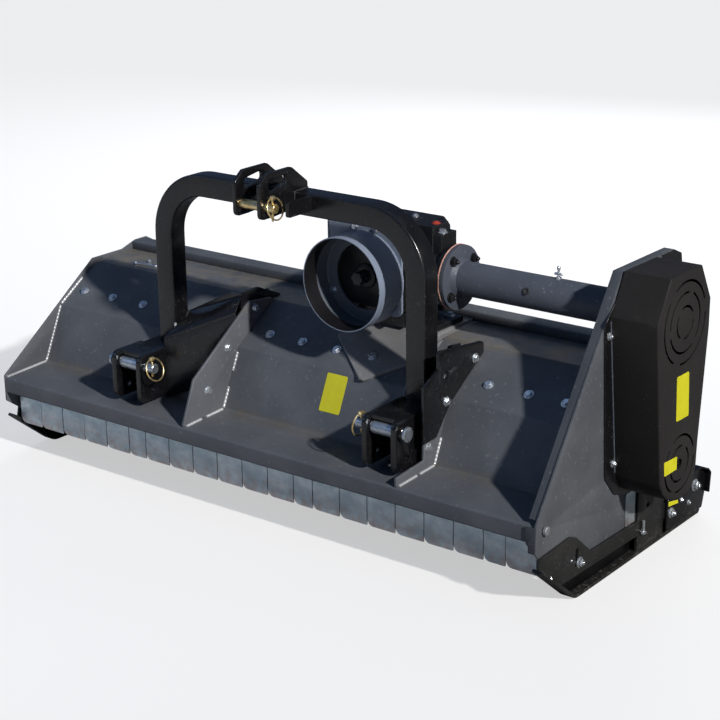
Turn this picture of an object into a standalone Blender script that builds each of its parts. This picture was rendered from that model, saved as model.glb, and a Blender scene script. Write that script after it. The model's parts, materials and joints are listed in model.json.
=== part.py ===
# Tractor mulcher: flail rotor under a folded steel deck, three-point hitch arch,
# angle gearbox with cross tube, belt drive on the right-hand end, skids and rear roller.
# Metres. +X runs to the right-hand end, -Y to the tractor, +Z up.
# Drawing coordinates start at the front face of the deck lip and at the middle of the
# hitch; ORIGIN moves the finished machine so that its box stands centred over zero.
import math

import bmesh
import bpy
from mathutils import Matrix, Vector

# Overall layout
ORIGIN = (0.0465, 0.41125)
GAP = 0.0003
DECK_X0 = -0.8797
DECK_X1 = 0.9027
SHEET = 0.005
LIP_TOP = 0.2417
LIP_BOTTOM = 0.196
SEAM = (0.1588, 0.2477)
KNEE = (0.2308, 0.4045)
CREST = (0.3843, 0.5032)
DECK_BACK = 0.638
PLATE_LEFT_X = (-0.886, -0.880)
PLATE_RIGHT_X = (0.903, 0.908)
RIGHT_FLANGE = 0.028
PLATE_FOOT = 0.090

# Drive
SHAFT_Y = 0.434
SHAFT_Z = 0.652
PTO_X = 0.190
ROTOR_Y = 0.442
ROTOR_Z = 0.288
ROTOR_RADIUS = 0.070
FLAIL_TIP = 0.195
DRIVE_PULLEY = 0.090
DRIVEN_PULLEY = 0.063
PULLEY_X = 0.9360
PITCH = 0.0160
GROOVES = 3
BELT_BACK = 0.0065
IDLER = (0.5180, 0.4700)
IDLER_RADIUS = 0.022
COVER_OUT = 1.036
BACK_PLATE_X = (0.9083, 0.9123)

# Hitch
ARCH_HALF = 0.452
TUBE = 0.060
ARCH_Y = 0.197
ARCH_TOP = 0.876
ARCH_BEND = 0.150
CHEEK_INNER = (0.376, 0.390)
CHEEK_OUTER = (0.465, 0.480)
LOWER_PIN = (0.063, 0.358)
LOWER_PIN_RADIUS = 0.014
TOP_PIN = (0.090, 0.856)
TOP_PIN_RADIUS = 0.0125
RIB_LEFT = (-0.198, -0.190)
RIB_RIGHT = (0.499, 0.507)

# Front flaps
ROD = (0.031, 0.2245)
ROD_RADIUS = 0.006
FLAP_COUNT = 21
FLAP_NARROW = (5, 12, 19)
NARROW_SHARE = 0.723
FLAP_BOTTOM = 0.0987
FLAP_ROW = (-0.868, 0.886)
FLAP_CLOSE = (1, 3)

# Ground gear
SKID_THICK = 0.008
ROLLER_Y = 0.745
ROLLER_RADIUS = 0.075
ROLLER_HALF = 0.8700
BRACKET_THICK = 0.008


def clear_scene():
    for item in list(bpy.data.objects):
        bpy.data.objects.remove(item, do_unlink=True)


def paint(name, colour, roughness, metallic):
    material = bpy.data.materials.new(name)
    material.use_nodes = True
    shader = material.node_tree.nodes["Principled BSDF"]
    shader.inputs["Base Color"].default_value = (*colour, 1.0)
    shader.inputs["Roughness"].default_value = roughness
    shader.inputs["Metallic"].default_value = metallic
    return material


def place(axis, a, u, v):
    # a lies along the axis; u and v are the other two in their x, y, z order
    if axis == "X":
        return Vector((a, u, v))
    if axis == "Y":
        return Vector((u, a, v))
    return Vector((u, v, a))


def loft(sections):
    # closed body through point rings of equal length
    bm = bmesh.new()
    rings = [[bm.verts.new(point) for point in ring] for ring in sections]
    count = len(rings[0])
    for first, second in zip(rings, rings[1:]):
        for i in range(count):
            j = (i + 1) % count
            bm.faces.new((first[i], first[j], second[j], second[i]))
    bm.faces.new(list(reversed(rings[0])))
    bm.faces.new(rings[-1])
    bmesh.ops.recalc_face_normals(bm, faces=bm.faces)
    return bm


def prism(outline, a0, a1, axis="X"):
    return loft([[place(axis, a, u, v) for u, v in outline] for a in (a0, a1)])


def circle(centre, radius, count, start=0.0):
    step = 2 * math.pi / count
    return [
        (centre[0] + radius * math.cos(start + i * step), centre[1] + radius * math.sin(start + i * step))
        for i in range(count)
    ]


def rod(centre, radius, a0, a1, axis="X", count=24):
    return prism(circle(centre, radius, count, math.pi / count), a0, a1, axis)


def box(x, y, z):
    return prism([(y[0], z[0]), (y[1], z[0]), (y[1], z[1]), (y[0], z[1])], x[0], x[1])


def turned(profile, centre, axis="X", count=32):
    # profile: (distance along the axis, radius), open at both ends, capped flat
    rings = []
    for a, radius in profile:
        rings.append([place(axis, a, u, v) for u, v in circle(centre, radius, count, math.pi / count)])
    return loft(rings)


def ring_body(profile, centre, axis="X", count=32):
    # closed profile (distance along the axis, radius) swept once round the axis
    bm = bmesh.new()
    rings = []
    for i in range(count):
        angle = 2 * math.pi * (i + 0.5) / count
        rings.append(
            [
                bm.verts.new(
                    place(axis, a, centre[0] + r * math.cos(angle), centre[1] + r * math.sin(angle))
                )
                for a, r in profile
            ]
        )
    size = len(profile)
    for i in range(count):
        first, second = rings[i], rings[(i + 1) % count]
        for k in range(size):
            m = (k + 1) % size
            bm.faces.new((first[k], first[m], second[m], second[k]))
    bmesh.ops.recalc_face_normals(bm, faces=bm.faces)
    return bm


def shifted(path, distance):
    # mitred parallel of an open path, to the right of its running direction
    result = []
    for i, point in enumerate(path):
        before = path[i - 1] if i > 0 else None
        after = path[i + 1] if i + 1 < len(path) else None
        normals = []
        for first, second in ((before, point), (point, after)):
            if first is None or second is None:
                continue
            dx, dy = second[0] - first[0], second[1] - first[1]
            length = math.hypot(dx, dy)
            normals.append((dy / length, -dx / length))
        if len(normals) == 1:
            normals.append(normals[0])
        nx, ny = normals[0][0] + normals[1][0], normals[0][1] + normals[1][1]
        scale = distance / (1 + normals[0][0] * normals[1][0] + normals[0][1] * normals[1][1])
        result.append((point[0] + nx * scale, point[1] + ny * scale))
    return result


def folded(path, thickness, x0, x1):
    return prism(path + list(reversed(shifted(path, thickness))), x0, x1)


def rounded(points, radii, count=4):
    # outline with its corners rounded to the given radii (0 keeps a corner)
    result = []
    size = len(points)
    for i, radius in enumerate(radii):
        here = Vector(points[i])
        if radius <= 0:
            result.append(tuple(here))
            continue
        back = (Vector(points[i - 1]) - here).normalized()
        ahead = (Vector(points[(i + 1) % size]) - here).normalized()
        half = back.angle(ahead) / 2
        middle = here + (back + ahead).normalized() * (radius / math.sin(half))
        first = here + back * (radius / math.tan(half))
        last = here + ahead * (radius / math.tan(half))
        start = math.atan2(first.y - middle.y, first.x - middle.x)
        sweep = math.atan2(last.y - middle.y, last.x - middle.x) - start
        sweep = (sweep + math.pi) % (2 * math.pi) - math.pi
        for k in range(count + 1):
            angle = start + sweep * k / count
            result.append((middle.x + radius * math.cos(angle), middle.y + radius * math.sin(angle)))
    return result


def holder(bm, name):
    mesh = bpy.data.meshes.new(name)
    bm.to_mesh(mesh)
    bm.free()
    item = bpy.data.objects.new(name, mesh)
    bpy.context.scene.collection.objects.link(item)
    return item


def combine(base, others, operation):
    # exact Boolean of bmeshes; gives a bmesh back
    target = holder(base, "work")
    helpers = []
    for other in others:
        helper = holder(other, "helper")
        helper.hide_render = True
        helper.display_type = "WIRE"
        change = target.modifiers.new("shape", "BOOLEAN")
        change.operation = operation
        change.solver = "EXACT"
        change.object = helper
        helpers.append(helper)
    graph = bpy.context.evaluated_depsgraph_get()
    mesh = bpy.data.meshes.new_from_object(target.evaluated_get(graph))
    result = bmesh.new()
    result.from_mesh(mesh)
    bmesh.ops.remove_doubles(result, verts=result.verts, dist=0.00002)
    bmesh.ops.dissolve_limit(
        result, angle_limit=0.002, verts=result.verts, edges=result.edges
    )
    bpy.data.meshes.remove(mesh)
    for item in helpers + [target]:
        old = item.data
        bpy.data.objects.remove(item, do_unlink=True)
        bpy.data.meshes.remove(old)
    return result


def union(*bodies):
    return combine(bodies[0], bodies[1:], "UNION")


def cut(base, *tools):
    return combine(base, tools, "DIFFERENCE")


def mirrored(bm):
    bmesh.ops.scale(bm, vec=(-1, 1, 1), verts=bm.verts)
    bmesh.ops.reverse_faces(bm, faces=bm.faces)
    return bm


def node(name, bm, material, pivot=None, smooth=False, bevel=0.0, segments=1, mother=None):
    centre = Vector(pivot) if pivot else Vector((0.0, 0.0, 0.0))
    bmesh.ops.translate(bm, vec=-centre, verts=bm.verts)
    item = holder(bm, name)
    item.data.name = name
    item.data.materials.append(material)
    item.location = centre - Vector((ORIGIN[0], ORIGIN[1], 0.0))
    if mother is not None:
        item.parent = mother
        item.location = centre - Vector(mother["drawn"])
    if bevel > 0:
        edge = item.modifiers.new("edges", "BEVEL")
        edge.width = bevel
        edge.segments = segments
        edge.limit_method = "ANGLE"
        edge.angle_limit = math.radians(40)
    if smooth:
        item.data.shade_smooth()
        item.data.set_sharp_from_angle(angle=math.radians(35))
    return item


def empty(name, at):
    item = bpy.data.objects.new(name, None)
    bpy.context.scene.collection.objects.link(item)
    item.empty_display_size = 0.05
    item.location = (at[0] - ORIGIN[0], at[1] - ORIGIN[1], at[2])
    return item


# Deck


def deck_path():
    return [(0.014, LIP_BOTTOM), (0.0, LIP_BOTTOM), (0.0, LIP_TOP), SEAM, KNEE, CREST, (DECK_BACK, CREST[1])]


def deck_shell():
    body = folded(deck_path(), SHEET, DECK_X0, DECK_X1)
    # stiffening fold under the crest and a hinge channel for the rear door
    brace = [(0.600, 0.4990), (0.600, 0.4600), (0.606, 0.4600), (0.606, 0.4990)]
    return union(body, prism(brace, DECK_X0, DECK_X1))


def end_outline_left():
    return [
        (0.0, 0.172), (0.0, 0.2475), (0.373, 0.512), (0.499, 0.512), (0.557, 0.529), (0.605, 0.529),
        (0.655, 0.500), (0.745, 0.300), (0.745, PLATE_FOOT), (0.112, PLATE_FOOT), (0.062, 0.127),
    ]


def end_outline_right():
    return [
        (-0.0045, 0.174), (-0.0045, 0.2440), (0.361, 0.767), (0.613, 0.767), (0.652, 0.750), (0.662, 0.700),
        (0.745, 0.300), (0.745, PLATE_FOOT), (0.112, PLATE_FOOT), (0.062, 0.127), (0.016, 0.152),
    ]


def end_plate_left():
    body = prism(end_outline_left(), *PLATE_LEFT_X)
    return cut(
        body,
        rod((ROTOR_Y, ROTOR_Z), 0.026, -0.90, -0.87, count=20),
        rod(ROD, ROD_RADIUS + 0.0006, -0.90, -0.87, count=12),
    )


def end_plate_right():
    outline = end_outline_right()
    body = prism(outline, *PLATE_RIGHT_X)
    # the rim is folded inwards along the slanting front, the top and the upper back
    run = [(0.0095, 0.2555), (0.361, 0.767), (0.613, 0.767), (0.652, 0.750), (0.662, 0.700), (0.682, 0.603)]
    rim = folded(run, 0.004, PLATE_RIGHT_X[1] - RIGHT_FLANGE, PLATE_RIGHT_X[1] - 0.001)
    # short upright strip in front of the end of the deck lip, clear of the last flap as it swings forward
    inner = PLATE_RIGHT_X[1] - RIGHT_FLANGE
    nose = prism([(0.907, 0.174), (inner + 0.0065, 0.174), (inner + 0.0065, 0.190), (inner, 0.197), (inner, 0.240),
                  (0.907, 0.240)], -0.0045, -0.0005, "Y")
    return cut(
        union(body, rim, nose),
        rod((ROTOR_Y, ROTOR_Z), 0.026, 0.87, 0.92, count=20),
        rod((SHAFT_Y, SHAFT_Z), 0.022, 0.87, 0.92, count=20),
        rod(ROD, ROD_RADIUS + 0.0006, 0.87, 0.92, count=12),
    )


def deck_top(offset):
    # outer line of the deck, pushed outwards by the offset
    return shifted([(0.0, LIP_TOP), SEAM, KNEE, CREST, (DECK_BACK, CREST[1])], -offset)


def rib(x, notched):
    # the right-hand rib is cut back in front so that the lower pin can be drawn out
    top = deck_top(GAP)
    foot = [(0.002, top[0][1]), top[1], top[2], top[3]]
    front = [(0.121, 0.411), (0.117, 0.274), (0.002, 0.266)] if notched else [(0.049, 0.362), (0.002, 0.250)]
    return prism(foot + [(0.372, 0.511), (0.284, 0.522)] + front, *x)


def rear_beam():
    z = CREST[1] + GAP
    shape = rounded([(0.540, z), (0.596, z), (0.596, 0.5285), (0.540, 0.5285)], (0, 0, 0.004, 0.004), 2)
    return prism(shape, DECK_X0, DECK_X1)


def rear_door():
    path = [(0.745, 0.168), (0.752, 0.240), (0.715, 0.400), (0.6545, 0.4915)]
    panel = folded(path, 0.004, -0.8790, 0.9015)
    knuckle = rod((0.648, 0.492), 0.009, -0.8790, 0.9015, count=16)
    lip = prism([(0.745, 0.168), (0.757, 0.168), (0.757, 0.172), (0.745, 0.172)], -0.8790, 0.9015)
    return union(panel, knuckle, lip)


def mount_plate():
    # flat tongue on the deck slope with a pointed front end, folded over the crest
    thick = 0.008
    top = deck_top(GAP)
    knee, crest = top[2], top[3]
    along = Vector((crest[0] - knee[0], crest[1] - knee[1])).normalized()
    start = Vector(crest) - along * 0.195
    path = [tuple(start), crest, (0.536, crest[1])]
    body = prism(path + list(reversed(shifted(path, -thick))), 0.085, 0.385)
    corner = [(0.060, 0.16), (0.2350, 0.16), (0.2350, 0.214), (0.085, 0.318), (0.060, 0.318)]
    left = prism(corner, 0.36, 0.56, "Z")
    right = prism([(0.470 - x, y) for x, y in corner], 0.36, 0.56, "Z")
    slot = prism(rounded([(0.185, 0.398), (0.215, 0.398), (0.215, 0.410), (0.185, 0.410)], [0.0055] * 4, 2),
                 0.49, 0.53, "Z")
    return cut(body, left, right, slot)


# Hitch


def arch_path():
    # centre line of the square tube in x, z with the two bends as arcs
    half = ARCH_HALF - TUBE / 2
    top = ARCH_TOP - TUBE / 2
    bend = ARCH_BEND
    steps = 7
    points = [(-half, 0.370)]
    for i in range(steps + 1):
        angle = math.pi - (math.pi / 2) * i / steps
        points.append((-half + bend + bend * math.cos(angle), top - bend + bend * math.sin(angle)))
    for i in range(steps + 1):
        angle = math.pi / 2 - (math.pi / 2) * i / steps
        points.append((half - bend + bend * math.cos(angle), top - bend + bend * math.sin(angle)))
    points.append((half, 0.370))
    return points


def square_sweep(size, corner):
    points = arch_path()
    outer = shifted(points, -size / 2)
    inner = shifted(points, size / 2)
    y0 = ARCH_Y + TUBE / 2 - size / 2
    y1 = ARCH_Y + TUBE / 2 + size / 2
    sections = []
    for (ox, oz), (ix, iz) in zip(outer, inner):
        across = Vector((ix - ox, iz - oz)).normalized() * corner
        sections.append(
            [
                Vector((ox, y0 + corner, oz)),
                Vector((ox + across.x, y0, oz + across.y)),
                Vector((ix - across.x, y0, iz - across.y)),
                Vector((ix, y0 + corner, iz)),
                Vector((ix, y1 - corner, iz)),
                Vector((ix - across.x, y1, iz - across.y)),
                Vector((ox + across.x, y1, oz + across.y)),
                Vector((ox, y1 - corner, oz)),
            ]
        )
    return loft(sections)


def hitch_arch():
    body = cut(square_sweep(TUBE, 0.004), square_sweep(TUBE - 0.010, 0.002))
    # the legs are sawn to the slope of the deck behind the clevis plates
    under = [(0.10, 0.30), (0.40, 0.30), (0.40, 0.525), (0.2308, 0.4150), (0.2235, 0.3915), (0.10, 0.3915)]
    return cut(body, prism(under, -0.5, 0.5))


def side_lug():
    # the small third lug bites into the front wall of the arch that it is welded to
    shape = rounded([(0.105, 0.833), (0.1990, 0.833), (0.1990, 0.872), (0.105, 0.872)], (0.006, 0, 0, 0.006), 2)
    return prism(shape, 0.092, 0.102)


def top_link_plate(x0):
    outline = rounded(
        [
            (0.063, 0.826), (0.110, 0.826), (0.158, 0.829), (0.1967, 0.831), (0.1967, 0.8763),
            (0.253, 0.8763), (0.253, 0.893), (0.190, 0.941), (0.095, 0.941), (0.063, 0.915),
        ],
        (0.014, 0, 0, 0, 0, 0, 0.008, 0.012, 0.012, 0.012),
        3,
    )
    body = prism(outline, x0, x0 + 0.010)
    slot = rounded([(0.098, 0.890), (0.168, 0.905), (0.168, 0.927), (0.098, 0.917)], [0.009] * 4, 3)
    return cut(
        body,
        prism(slot, x0 - 0.01, x0 + 0.02),
        rod(TOP_PIN, TOP_PIN_RADIUS + 0.0004, x0 - 0.01, x0 + 0.02, count=16),
    )


def pin(centre, radius, x_head, x_end):
    # headed round pin with a cross hole near its free end
    side = 1 if x_end > x_head else -1
    head = 0.008 * side
    profile = [
        (x_head - head, radius * 1.25),
        (x_head - head * 0.9, radius * 1.4),
        (x_head - head * 0.1, radius * 1.4),
        (x_head - 0.0002 * side, radius * 1.3),
    ]
    body = turned(
        profile + [(x_head, radius), (x_end - 0.002 * side, radius), (x_end, radius * 0.86)], centre, count=16
    )
    hole = rod((x_end - 0.012 * side, centre[0]), 0.0036, centre[1] - 0.05, centre[1] + 0.05, "Z", 10)
    return cut(body, hole)


def linch_pin(x, centre, tilt):
    # straight shank through the pin, flat head and the spring ring that flips over the end
    wire = 0.0022
    ring_radius = 0.0310
    shank = rod((x, centre[0]), 0.0032, centre[1] - 0.024, centre[1] + 0.024, "Z", 10)
    head = box((x - 0.0055, x + 0.0055), (centre[0] - 0.006, centre[0] + 0.006),
               (centre[1] + 0.020, centre[1] + 0.032))
    bm = bmesh.new()
    rings = []
    turns = 20
    for i in range(turns):
        angle = 2 * math.pi * i / turns
        ring = []
        for k in range(5):
            around = 2 * math.pi * k / 5
            reach = ring_radius + wire * math.cos(around)
            ring.append(bm.verts.new((wire * math.sin(around), reach * math.sin(angle), reach * math.cos(angle))))
        rings.append(ring)
    for i in range(turns):
        first, second = rings[i], rings[(i + 1) % turns]
        for k in range(5):
            m = (k + 1) % 5
            bm.faces.new((first[k], first[m], second[m], second[k]))
    bmesh.ops.recalc_face_normals(bm, faces=bm.faces)
    bmesh.ops.transform(bm, matrix=Matrix.Rotation(-tilt, 4, "Y"), verts=bm.verts)
    drop = ring_radius * math.cos(tilt)
    swing = ring_radius * math.sin(tilt)
    bmesh.ops.translate(bm, vec=(x + swing, centre[0], centre[1] + 0.0275 - drop), verts=bm.verts)
    return union(head, shank, bm)


def cheek_outline(tall):
    if not tall:
        return rounded([(0.036, 0.258), (0.153, 0.258), (0.153, 0.3905), (0.036, 0.3905)],
                       (0.016, 0.004, 0.004, 0.020), 3)
    top = deck_top(0.0006)
    seam, knee = top[1], top[2]
    share = (0.262 - seam[1]) / (knee[1] - seam[1])
    toe = (seam[0] + share * (knee[0] - seam[0]), 0.262)
    share = (0.2690 - knee[0]) / (top[3][0] - knee[0])
    rear = (0.2690, knee[1] + share * (top[3][1] - knee[1]))
    points = [(0.036, 0.258), (0.1600, 0.258), toe, knee, rear, (0.2690, 0.468), (0.2480, 0.468), (0.205, 0.3905),
              (0.036, 0.3905)]
    return rounded(points, (0.016, 0, 0, 0, 0, 0.004, 0.004, 0, 0.020), 3)


def hitch_bracket(left):
    # clevis: two cheeks, a roof over the pin and a back wall
    inner = prism(cheek_outline(True), *CHEEK_INNER)
    outer = prism(cheek_outline(False), *CHEEK_OUTER)
    mid = (CHEEK_INNER[1] - 0.002, CHEEK_OUTER[0] + 0.002)
    roof = box(mid, (0.058, 0.2180), (0.3795, 0.3905))
    wall = box(mid, (0.136, 0.144), (0.262, 0.384))
    shape = union(inner, roof, wall, outer)
    shape = cut(
        shape,
        rod(LOWER_PIN, LOWER_PIN_RADIUS + 0.0004, 0.36, 0.49, count=20),
        rod((0.0850, 0.2850), 0.0085, 0.36, 0.49, count=12),
    )
    if left:
        shape = mirrored(shape)
    top = deck_top(0.0006)
    knee, crest = top[2], top[3]

    def on_slope(y):
        share = (y - knee[0]) / (crest[0] - knee[0])
        return (y, knee[1] + share * (crest[1] - knee[1]))

    y0, y1 = 0.2585, 0.2685
    low = on_slope(y1)[1] + 0.0006
    if left:
        # wedge-shaped web behind the leg, running up to the side plate on the rib
        web = [(-0.388, low), (-0.2010, low), (-0.2010, 0.5465), (-0.240, 0.545), (-0.388, 0.468)]
        web = cut(prism(web, y0, y1, "Y"), rod((-0.270, 0.474), 0.011, 0.25, 0.28, "Y", 14))
        plate = rounded([on_slope(0.2575), crest, (0.434, crest[1]), (0.332, 0.549), (0.2575, 0.549)],
                        (0, 0, 0.003, 0.012, 0.004), 3)
        plate = prism(plate, RIB_LEFT[0] - GAP - 0.008, RIB_LEFT[0] - GAP)
    else:
        over = 0.5170
        web = [(0.378, low), (RIB_RIGHT[0] - GAP, low), (RIB_RIGHT[0] - GAP, over), (RIB_RIGHT[1] + 0.004, over),
               (RIB_RIGHT[1] + 0.004, 0.541), (0.480, 0.530), (0.463, 0.495), (0.455, 0.468), (0.378, 0.468)]
        web = prism(web, y0, y1, "Y")
        plate = rounded(
            [(0.168, 0.422), (0.178, 0.412), (0.2300, 0.4120), on_slope(0.2310), on_slope(0.366), (0.366, 0.521),
             (0.168, 0.545)],
            (0, 0, 0, 0, 0, 0.010, 0.008), 3)
        plate = cut(prism(plate, RIB_RIGHT[1] + GAP, RIB_RIGHT[1] + GAP + 0.008),
                    rod((0.2000, 0.4760), 0.011, 0.45, 0.55, count=14))
    return union(shape, web, plate)


# Drive line


def pto_shield():
    centre = (PTO_X, SHAFT_Z)
    drum = ring_body(
        [(0.200, 0.1195), (0.200, 0.1235), (0.3040, 0.1235), (0.3040, 0.0890), (0.2970, 0.0890), (0.2970, 0.1195)],
        centre, "Y", 40)
    frame = prism(
        rounded([(0.072, 0.560), (0.308, 0.560), (0.308, 0.800), (0.072, 0.800)], [0.018] * 4, 3), 0.2980, 0.3050, "Y"
    )
    frame = cut(frame, rod(centre, 0.105, 0.28, 0.32, "Y", 24))
    return union(drum, frame)


def gearbox_housing():
    centre = (PTO_X, SHAFT_Z)
    main = prism(
        rounded([(0.100, 0.560), (0.300, 0.560), (0.300, 0.757), (0.280, 0.777), (0.120, 0.777), (0.100, 0.757)],
                (0.02, 0.02, 0.01, 0.01, 0.01, 0.01), 2), 0.345, 0.528, "Y")
    front = prism(
        rounded([(0.092, 0.572), (0.288, 0.572), (0.288, 0.745), (0.092, 0.745)], [0.02] * 4, 3), 0.3053, 0.350, "Y"
    )
    saddle = box((0.110, 0.270), (0.360, 0.515), (CREST[1] + 0.0088, 0.566))
    feet = box((0.098, 0.362), (0.372, 0.500), (CREST[1] + 0.0088, 0.526))
    crown = rod((0.200, 0.4360), 0.060, 0.770, 0.7850, "Z", 20)
    hood = box((0.215, 0.334), (0.398, 0.470), (0.700, 0.7830))
    neck = turned([(0.290, 0.072), (0.352, 0.068), (0.366, 0.068), (0.372, 0.084), (0.3845, 0.084)],
                  (SHAFT_Y, SHAFT_Z), "X", 28)
    lug = box((0.325, 0.360), (0.400, 0.468), (0.690, 0.764))
    ribs = [box((x - 0.004, x + 0.004), (0.340, 0.536), (0.530, 0.600)) for x in (0.135, 0.245)]
    boss = rod(centre, 0.034, 0.2985, 0.310, "Y", 20)
    body = union(main, front, saddle, feet, crown, hood, neck, lug, boss, *ribs)
    return cut(body, rod(centre, 0.0181, 0.28, 0.335, "Y", 24))


def input_shaft():
    centre = (PTO_X, SHAFT_Z)
    teeth = 6
    outline = []
    for i in range(teeth):
        base = 2 * math.pi * i / teeth
        for radius, turn in ((0.0148, -0.30), (0.0175, -0.26), (0.0175, 0.26), (0.0148, 0.30)):
            outline.append((centre[0] + radius * math.cos(base + turn), centre[1] + radius * math.sin(base + turn)))
    body = union(prism(outline, 0.2650, 0.3200, "Y"), rod(centre, 0.0178, 0.3120, 0.3346, "Y", 24))
    groove = ring_body([(0.2800, 0.0162), (0.2800, 0.030), (0.2860, 0.030), (0.2860, 0.0162)], centre, "Y", 20)
    return cut(body, groove)


def cross_tube():
    centre = (SHAFT_Y, SHAFT_Z)
    tube = ring_body([(0.390, 0.038), (0.390, 0.0447), (0.9024, 0.0447), (0.9024, 0.038)], centre, "X", 28)
    flange = ring_body(
        [(0.3862, 0.038), (0.3862, 0.085), (0.4000, 0.085), (0.4000, 0.054), (0.4120, 0.0455), (0.4120, 0.038)],
        centre, "X", 28)
    return union(tube, flange)


def cross_shaft():
    return turned([(0.3870, 0.0150), (0.3880, 0.0175), (0.9960, 0.0175), (0.9980, 0.0160)], (SHAFT_Y, SHAFT_Z), "X", 16)


def pulley(radius, bore, centre, x0, grooves, pitch, hub):
    # V-grooved rim with a thinner web and a hub
    rim = [(x0, radius - 0.020), (x0, radius)]
    for i in range(grooves):
        start = x0 + 0.003 + i * pitch
        rim += [(start, radius), (start + 0.0035, radius - 0.011), (start + pitch - 0.0065, radius - 0.011),
                (start + pitch - 0.003, radius)]
    x1 = x0 + grooves * pitch + 0.003
    rim += [(x1, radius), (x1, radius - 0.020), (x1 - 0.018, radius - 0.020), (x1 - 0.018, hub), (x1 - 0.002, hub),
            (x1 - 0.002, bore), (x0 + 0.002, bore), (x0 + 0.002, hub), (x0 + 0.018, hub), (x0 + 0.018, radius - 0.020)]
    return ring_body(rim, centre, "X", 18)


def belt_line():
    # pulley circles in running order; the idler presses on the back of the belt, so it turns the other way
    gap = BELT_BACK + 0.0006
    circles = (
        ((SHAFT_Y, SHAFT_Z), DRIVE_PULLEY, 1, 12),
        ((ROTOR_Y, ROTOR_Z), DRIVEN_PULLEY, 1, 10),
        (IDLER, IDLER_RADIUS + gap, -1, 3),
    )
    tangents = []
    for i, (centre, radius, sense, _) in enumerate(circles):
        other, reach, turn, _ = circles[(i + 1) % len(circles)]
        dx, dy = other[0] - centre[0], other[1] - centre[1]
        share = (radius * sense - reach * turn) / math.hypot(dx, dy)
        tangents.append(math.atan2(dy, dx) - math.acos(share))
    line = []
    for i, (centre, radius, sense, steps) in enumerate(circles):
        start, end = tangents[i - 1], tangents[i]
        sweep = (end - start) % (2 * math.pi) if sense > 0 else -((start - end) % (2 * math.pi))
        for k in range(steps + 1):
            angle = start + sweep * k / steps
            way = (math.cos(angle), math.sin(angle))
            line.append((centre[0] + sense * radius * way[0], centre[1] + sense * radius * way[1], way))
    return line


def belt_set():
    # banded V-belt: flat back over three wedges, swept round the belt line
    start = PULLEY_X + 0.003
    profile = [(start, BELT_BACK), (start, 0.0016)]
    for i in range(GROOVES):
        x = start + i * PITCH
        profile += [(x + 0.0006, 0.0016), (x + 0.0034, -0.0080), (x + 0.0096, -0.0080), (x + 0.0124, 0.0016)]
    end = start + (GROOVES - 1) * PITCH + 0.0130
    profile += [(end, 0.0016), (end, BELT_BACK)]
    bm = bmesh.new()
    rings = []
    for y, z, way in belt_line():
        rings.append([bm.verts.new((x, y + e * way[0], z + e * way[1])) for x, e in profile])
    for first, second in zip(rings, rings[1:] + rings[:1]):
        for k in range(len(profile)):
            m = (k + 1) % len(profile)
            bm.faces.new((first[k], first[m], second[m], second[k]))
    bmesh.ops.recalc_face_normals(bm, faces=bm.faces)
    return bm


def idler():
    x0, x1 = 0.9360, 0.9870
    return ring_body(
        [(x0, 0.0080), (x0, 0.013), (x0 + 0.001, IDLER_RADIUS - 0.001), (x0 + 0.002, IDLER_RADIUS),
         (x1 - 0.002, IDLER_RADIUS), (x1 - 0.001, IDLER_RADIUS - 0.001), (x1, 0.013), (x1, 0.0080)],
        IDLER, "X", 16)


def rotor():
    centre = (ROTOR_Y, ROTOR_Z)
    shaft = turned(
        [(-0.9430, 0.0185), (-0.9420, 0.0200), (-0.850, 0.0200), (-0.8495, 0.034), (-0.840, 0.036),
         (-0.8395, ROTOR_RADIUS), (0.8495, ROTOR_RADIUS), (0.850, 0.036), (0.860, 0.034), (0.8605, 0.0200),
         (0.9950, 0.0200), (0.9960, 0.0185)], centre, "X", 24)
    bodies = [shaft]
    count = 20
    for i in range(count):
        x = -0.785 + i * (1.58 / (count - 1))
        angle = math.radians(137.5) * i
        # lug ears with the hanging hammer between them, drawn outwards from the tube
        ear = [(0.060, -0.022), (0.112, -0.014), (0.118, 0.0), (0.112, 0.014), (0.060, 0.022)]
        hammer = [(0.092, -0.010), (0.150, -0.012), (0.182, -0.030), (FLAIL_TIP, -0.022), (FLAIL_TIP - 0.002, 0.030),
                  (0.176, 0.030), (0.150, 0.012), (0.092, 0.010)]
        cosine, sine = math.cos(angle), math.sin(angle)

        def spun(shape):
            return [
                (centre[0] + r * cosine - t * sine, centre[1] + r * sine + t * cosine) for r, t in shape
            ]

        bodies.append(prism(spun(ear), x - 0.0190, x + 0.0190))
        bodies.append(prism(spun(hammer), x - 0.0300, x + 0.0300))
    return union(*bodies)


def bearing(x0, x1, side):
    # flanged housing: rounded square flange with a domed hub
    centre = (ROTOR_Y, ROTOR_Z)
    half = 0.058
    square = rounded(
        [(centre[0] - half, centre[1] - half), (centre[0] + half, centre[1] - half),
         (centre[0] + half, centre[1] + half), (centre[0] - half, centre[1] + half)], [0.022] * 4, 4)
    flange = prism(square, *sorted((x0, x0 + side * 0.012)))
    hub = turned([(x0 + side * 0.006, 0.046), (x1 - side * 0.006, 0.044), (x1, 0.036)], centre, "X", 24)
    return cut(union(flange, hub), rod(centre, 0.0206, -1.1, 1.1, count=24))


def back_outline():
    return rounded(
        [(0.345, 0.724), (0.276, 0.660), (0.276, 0.640), (0.301, 0.262), (0.350, 0.205), (0.400, 0.187),
         (0.500, 0.187), (0.552, 0.225), (0.572, 0.320), (0.592, 0.600), (0.592, 0.690), (0.545, 0.7620),
         (0.3640, 0.7620)],
        (0.02, 0.01, 0.01, 0.02, 0.02, 0.02, 0.02, 0.02, 0.02, 0.02, 0.02, 0.01, 0.004), 2)


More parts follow.
